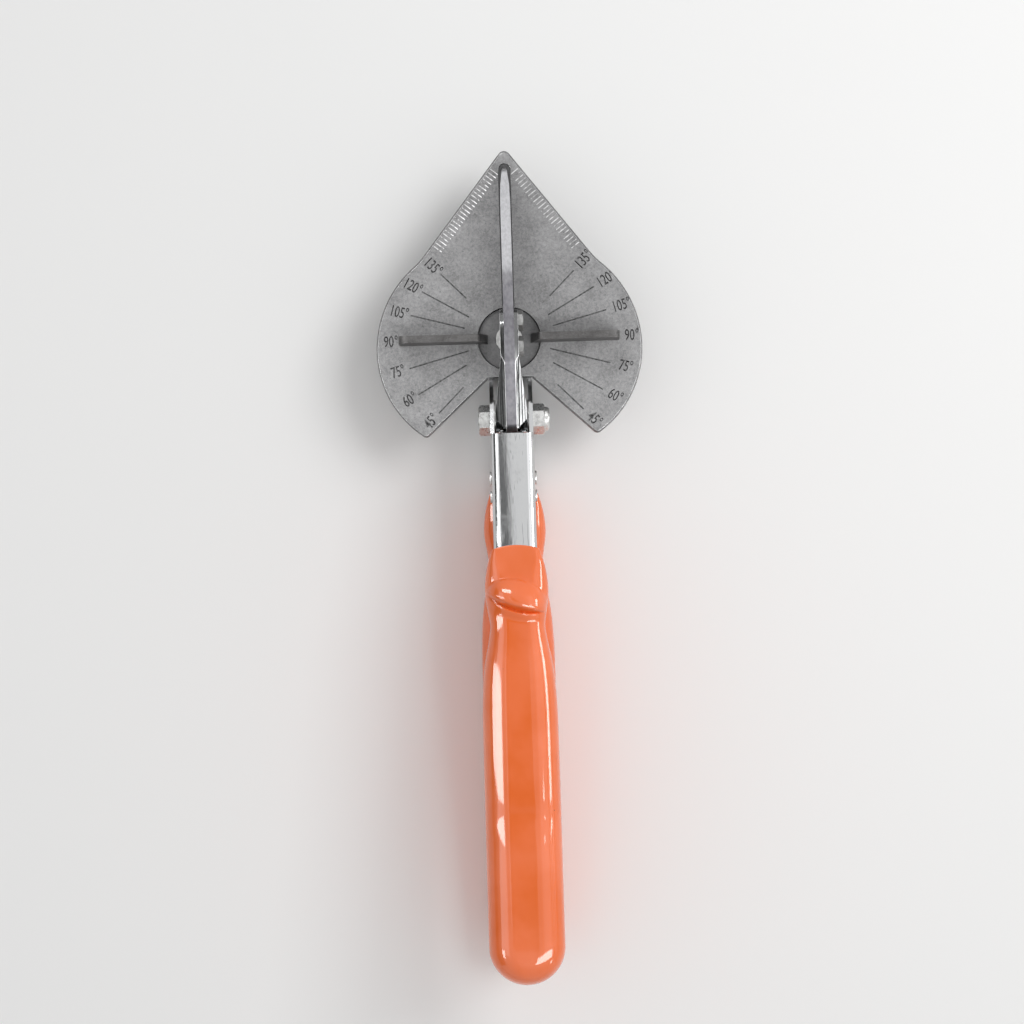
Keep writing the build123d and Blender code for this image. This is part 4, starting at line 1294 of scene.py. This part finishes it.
class SHEAR_OT_stage(Operator):
    """Floor, soft lights, world and camera"""

    bl_idname = "shear.stage"
    bl_label = "Stage"

    def execute(self, context):
        sizes = context.scene.shear_stage
        eye = VIEW_CENTRE + Vector((0, 0, sizes.camera_distance))
        self.floor(cad_box[0][2])
        self.lights(sizes, eye)
        self.world(sizes)
        self.camera(sizes, eye)
        context.scene.view_settings.view_transform = "Standard"
        return {"FINISHED"}

    @staticmethod
    def floor(height):
        near, far = VIEW_CENTRE.y - FLOOR_REACH, VIEW_CENTRE.y + FLOOR_REACH
        mesh = bpy.data.meshes.new("floor")
        mesh.from_pydata([
            (-FLOOR_REACH, near, height), (FLOOR_REACH, near, height),
            (FLOOR_REACH, far, height), (-FLOOR_REACH, far, height)], [], [range(4)])
        add_piece("floor", mesh, None, "floor")

    @staticmethod
    def lights(sizes, eye):
        key = soft_light("key", KEY_PLACE, VIEW_CENTRE, KEY_SIZE, KEY_SIZE, sizes.key_energy)
        key.visible_glossy = False  # reflections see the panels instead
        for name, (point, leans, distance, width, length, brightness) in GLINTS.items():
            point = Vector(point) * MM
            place = reflected(point, *map(radians, leans), distance, eye)
            energy = pi * width * length * brightness * sizes.glint_strength
            glint = soft_light(name, place, point, width, length, energy)
            glint.visible_diffuse = False
        for name, (corners, brightness) in (PANELS | wall_panels()).items():
            reflected_panel(name, corners, brightness)

    @staticmethod
    def world(sizes):
        """Even room light; the camera and reflections see it as white as the background."""
        room = Finish("studio", "worlds")
        bpy.context.scene.world = room.owner
        sides = [
            room.add("ShaderNodeBackground", {}, {"Color": (1, 1, 1), "Strength": strength})
            for strength in (sizes.room_strength, 1.0)]
        rays = room.add("ShaderNodeLightPath").outputs
        seen = Value(room, rays["Is Camera Ray"])
        for ray in ("Is Glossy Ray", "Is Transmission Ray"):
            seen = seen.maths("MAXIMUM", seen, rays[ray])
        mix = room.add("ShaderNodeMixShader", {}, {
            "Fac": seen, 1: sides[0].outputs["Background"], 2: sides[1].outputs["Background"]})
        room.add("ShaderNodeOutputWorld", {}, {"Surface": mix.outputs["Shader"]})

    @staticmethod
    def camera(sizes, eye):
        camera = bpy.data.cameras.new("camera")
        camera.lens, camera.sensor_width, camera.clip_start = LENS, SENSOR, 0.01
        holder = placed("camera", camera)
        turn = Matrix.Rotation(sizes.camera_roll, 4, "Z")
        holder.matrix_world = Matrix.Translation(eye) @ turn
        bpy.context.scene.camera = holder


# ---------------------------------------------------------------- add-on


class SHEAR_PT_panel(Panel):
    """Sizes, colours and steps of the shear"""

    bl_idname = "SHEAR_PT_panel"
    bl_label = "Mitre shear"
    bl_space_type = "VIEW_3D"
    bl_region_type = "UI"
    bl_category = "Shear"

    def draw(self, context):
        for name in PROPERTY_GROUPS:
            box = self.layout.box()
            group = getattr(context.scene, name)
            for prop in group.bl_rna.properties.keys()[2:]:  # the first two are Blender's own
                box.prop(group, prop)
        for step in STEPS:
            self.layout.operator(step.bl_idname)


PROPERTY_GROUPS = {
    "shear_scale": ScaleSizes, "shear_grips": GripSizes, "shear_colours": FinishColours,
    "shear_stage": StageSizes,
}
STEPS = (
    SHEAR_OT_plate, SHEAR_OT_grips, SHEAR_OT_levers, SHEAR_OT_blade, SHEAR_OT_fence,
    SHEAR_OT_fasteners, SHEAR_OT_pivot, SHEAR_OT_latch, SHEAR_OT_spring, SHEAR_OT_stage,
)


def register():
    for name, group in PROPERTY_GROUPS.items():
        bpy.utils.register_class(group)
        setattr(bpy.types.Scene, name, PointerProperty(type=group))
    for step in STEPS:
        bpy.utils.register_class(step)
    bpy.utils.register_class(SHEAR_PT_panel)


def unregister():
    bpy.utils.unregister_class(SHEAR_PT_panel)
    for step in reversed(STEPS):
        bpy.utils.unregister_class(step)
    for name, group in PROPERTY_GROUPS.items():
        delattr(bpy.types.Scene, name)
        bpy.utils.unregister_class(group)


def main():
    """Builds every piece in order."""
    register()
    MATERIALS.update(make_materials(bpy.context.scene.shear_colours))
    for carried in frame["nodes"].values():
        painted(carried.data, "zinc")
    for step in STEPS:
        getattr(bpy.ops.shear, step.bl_idname.split(".")[1])()


if __name__ == "__main__":
    main()
